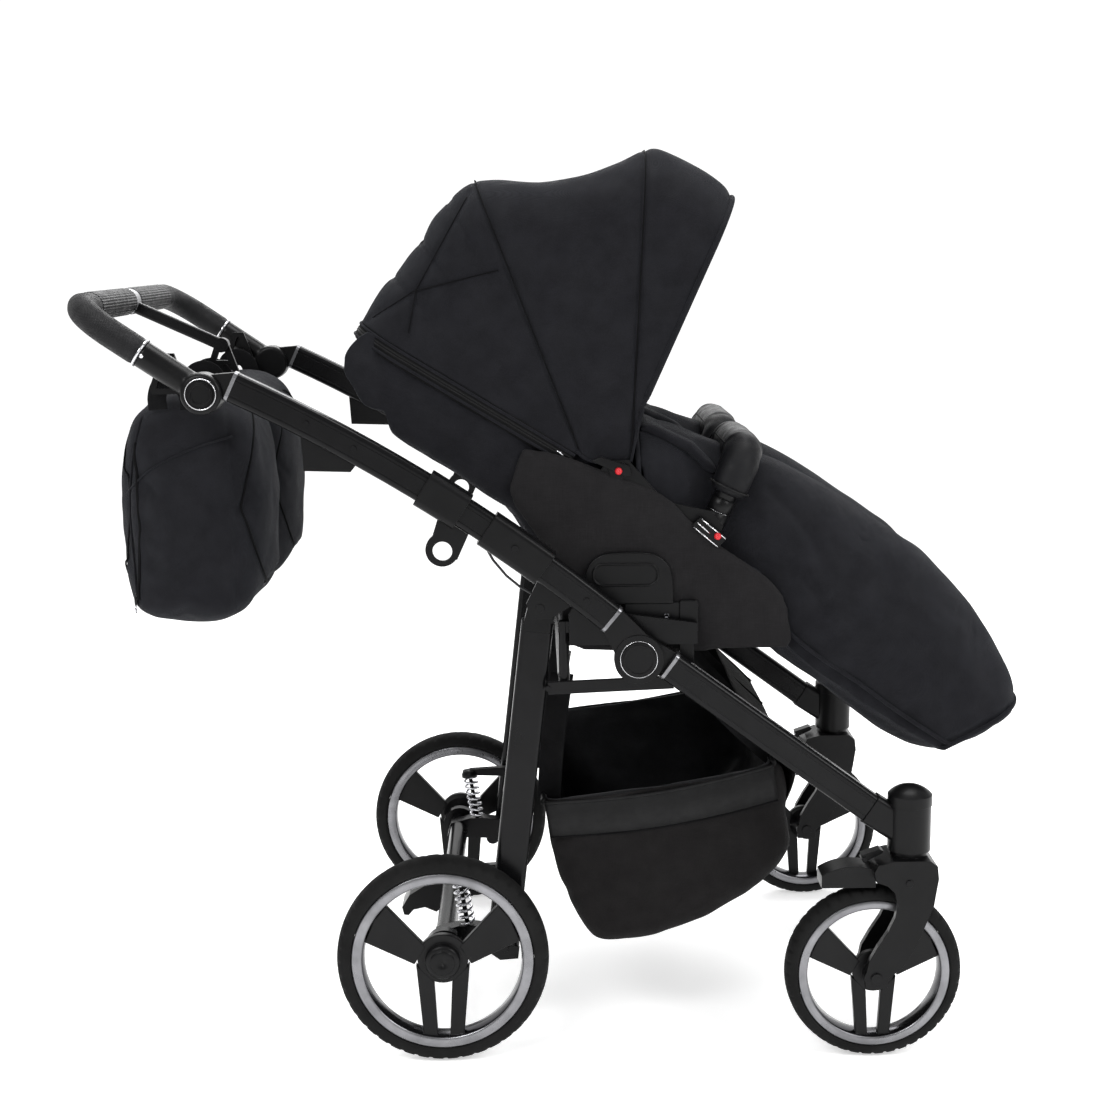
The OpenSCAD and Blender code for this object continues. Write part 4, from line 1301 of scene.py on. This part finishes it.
def build_handle():
    line_ = handle_line(99.5, 190)
    cut = int(len(line_) * 0.44)

    def ribs(angle, share):
        end = 0.06 * max(0, 1 - (1 - share) / 0.02)
        return 1.0 + 0.02 * cos(angle * 30) - end

    def ends(angle, share):
        return 1.0 - 0.07 * max(0, 1 - share / 0.03)

    side = sweep("grip", line_[: cut + 1], 19.6, ["knurl"], 48, shape=ends)
    bar = sweep("grip", line_[cut:], 20.0, ["leather"], 240, shape=ribs)
    pair(join("grip", [side, bar]), "grip_cover", "handle", ["handle_grip"])
    # Moulded arms that run from the grip into the round tilt joint
    centre = TILT + Vector((0, -SIDE_Y, 0))
    points = [centre + BACK * r for r in (96, 80, 60, 44, 30, 16, 4)]
    arm = sweep(
        "arm", smooth_path([tuple(p) for p in points], 40), list(np.linspace(19, 18.4, 40)),
        ["frame_plastic"], 40,
    )
    disc = turned(
        "disc",
        [(0.1, -21), (24, -21.8), (27.6, -19), (28.4, -13), (28.4, 13), (27.6, 18), (24, 20), (0.1, 20)],
        centre, ["frame_plastic"], 80,
    )
    whole = join("arm", [arm, disc])
    apply(whole, "REMESH", mode="VOXEL", voxel_size=1.4 * MM)
    tidy(whole)
    apply(whole, "SMOOTH", factor=0.6, iterations=12)
    cap_ring = turned(
        "ring", [(19.6, -22), (20, -22.8), (20.8, -22.8), (21.2, -22), (21.2, -20.5), (19.6, -20.5)],
        centre, ["silver"], 80,
    )
    collar = [centre + BACK * 96.5, centre + BACK * 97, centre + BACK * 99, centre + BACK * 99.5]
    silver = sweep("ring", collar, [20.4, 20.9, 20.9, 20.4], ["silver"], 48)
    dot = sweep(
        "dot", [centre + BACK * 92 + Vector((0, -19.2, 0)), centre + BACK * 92 + Vector((0, -20, 0))],
        [3, 2.6], ["silver"], 20,
    )
    pair(
        join("arm", [whole, cap_ring, silver, dot]), "handle_arm", "handle", ["handle_sleeves"],
    )


# ---- Springs ----


def build_springs():
    foot, head = Vector((-138, -252, 170)), Vector((-150, -252, 246))
    axis = (head - foot).normalized()
    side = axis.cross(Vector((0, 1, 0))).normalized()
    other = axis.cross(side)
    turns = 8
    path = []
    for t in np.linspace(0, 1, turns * 22):
        a = 2 * pi * turns * t
        path.append(foot.lerp(head, t) + side * (10.4 * cos(a)) + other * (10.4 * sin(a)))
    coil = sweep("coil", path, 1.8, ["spring_steel"], 10)
    rod = sweep("rod", [foot, head], 3.4, ["frame_metal"], 16)
    pair(
        join("coil", [coil, rod]), "spring_coil", "rear_legs", ["rear_springs"],
        squash=("rear_suspension", tuple(axis), tuple(head * MM), 0.88),
    )
    seat = [head - axis * 2, head + axis * 3, head + axis * 8, head + axis * 10]
    cap = sweep("cap", seat, [14, 14, 11, 6], ["frame_plastic"], 32)
    pair(cap, "spring_cap", "rear_legs", ())


# ---- Studio ----


FLOOR_HALF = 60000
FLOOR_Z = -0.5
# The camera, in metres and radians, as fitted to both wheels, both tube lines and the floor
CAMERA_PLACE = (-0.0341, -2.8198, 1.1428)
CAMERA_PAN, CAMERA_DOWN, CAMERA_ROLL = -0.0137, 0.1688, -0.0080
LIGHTS_AIM = Vector((0, 0, 0.65))


def studio():
    """A pale floor, a world that is brighter behind the stroller, four soft lights and the camera."""
    scene = bpy.context.scene
    corners = [(x * FLOOR_HALF, y * FLOOR_HALF, FLOOR_Z) for x, y in ((-1, -1), (1, -1), (1, 1), (-1, 1))]
    floor = new_object("studio_floor", corners, [(0, 1, 2, 3)], [])
    g = Graph(
        "studio_floor", Roughness=0.9, Specular_IOR_Level=0.1, Emission_Color=(1, 1, 1, 1),
        Emission_Strength=0.5,
    )
    g.tint(g.noise(0.5), (0.96, 0.96, 0.96), (0.98, 0.98, 0.98))
    floor.data.materials.append(g.material)
    world = bpy.data.worlds.new("studio")
    world.use_nodes = True
    sky = world.node_tree.nodes["Background"]
    sky.inputs["Color"].default_value = (1, 1, 1, 1)
    # Bright behind the stroller and dimmer on the near side, so that dark surfaces keep their depth
    way = world.node_tree.nodes.new("ShaderNodeTexCoord")
    split = world.node_tree.nodes.new("ShaderNodeSeparateXYZ")
    level = world.node_tree.nodes.new("ShaderNodeMapRange")
    for key, value in {"From Min": 0.1, "From Max": 0.7, "To Min": 0.42, "To Max": 1.08}.items():
        level.inputs[key].default_value = value
    world.node_tree.links.new(way.outputs["Generated"], split.inputs[0])
    world.node_tree.links.new(split.outputs["Y"], level.inputs["Value"])
    world.node_tree.links.new(level.outputs[0], sky.inputs["Strength"])
    scene.world = world
    scene.view_settings.view_transform = "Standard"
    lights = (
        ((-1.6, -2.6, 2.9), (1.8, 1.2), 60),
        ((2.2, -2.0, 2.2), (1.2, 1.6), 42),
        ((0.1, 0.3, 3.4), (2.4, 1.2), 70),
        ((0.2, 2.8, 2.4), (2.6, 1.0), 40),
    )
    for number, (place, size, power) in enumerate(lights):
        data = bpy.data.lights.new("softbox_%d" % number, "AREA")
        data.shape, data.size, data.size_y, data.energy = "RECTANGLE", *size, power
        lamp = bpy.data.objects.new(data.name, data)
        lamp.location = place
        lamp.rotation_euler = (LIGHTS_AIM - Vector(place)).to_track_quat("-Z", "Y").to_euler()
        scene.collection.objects.link(lamp)
    data = bpy.data.cameras.new("camera")
    data.lens, data.sensor_width = 59.36, 36
    camera = bpy.data.objects.new("camera", data)
    pan = Matrix.Rotation(CAMERA_PAN, 4, "Z")
    pitch = Matrix.Rotation(pi / 2 - CAMERA_DOWN, 4, "X")
    roll = Matrix.Rotation(CAMERA_ROLL, 4, "Z")
    camera.matrix_world = Matrix.Translation(CAMERA_PLACE) @ pan @ pitch @ roll
    scene.collection.objects.link(camera)
    scene.camera = camera


build_wheels()
build_canopies()
build_zips()
build_seats()
build_leg_cover()
build_bumpers()
build_fittings()
build_buttons()
build_joint_rings()
build_brackets()
build_bags()
build_basket()
build_handle()
build_springs()
studio()
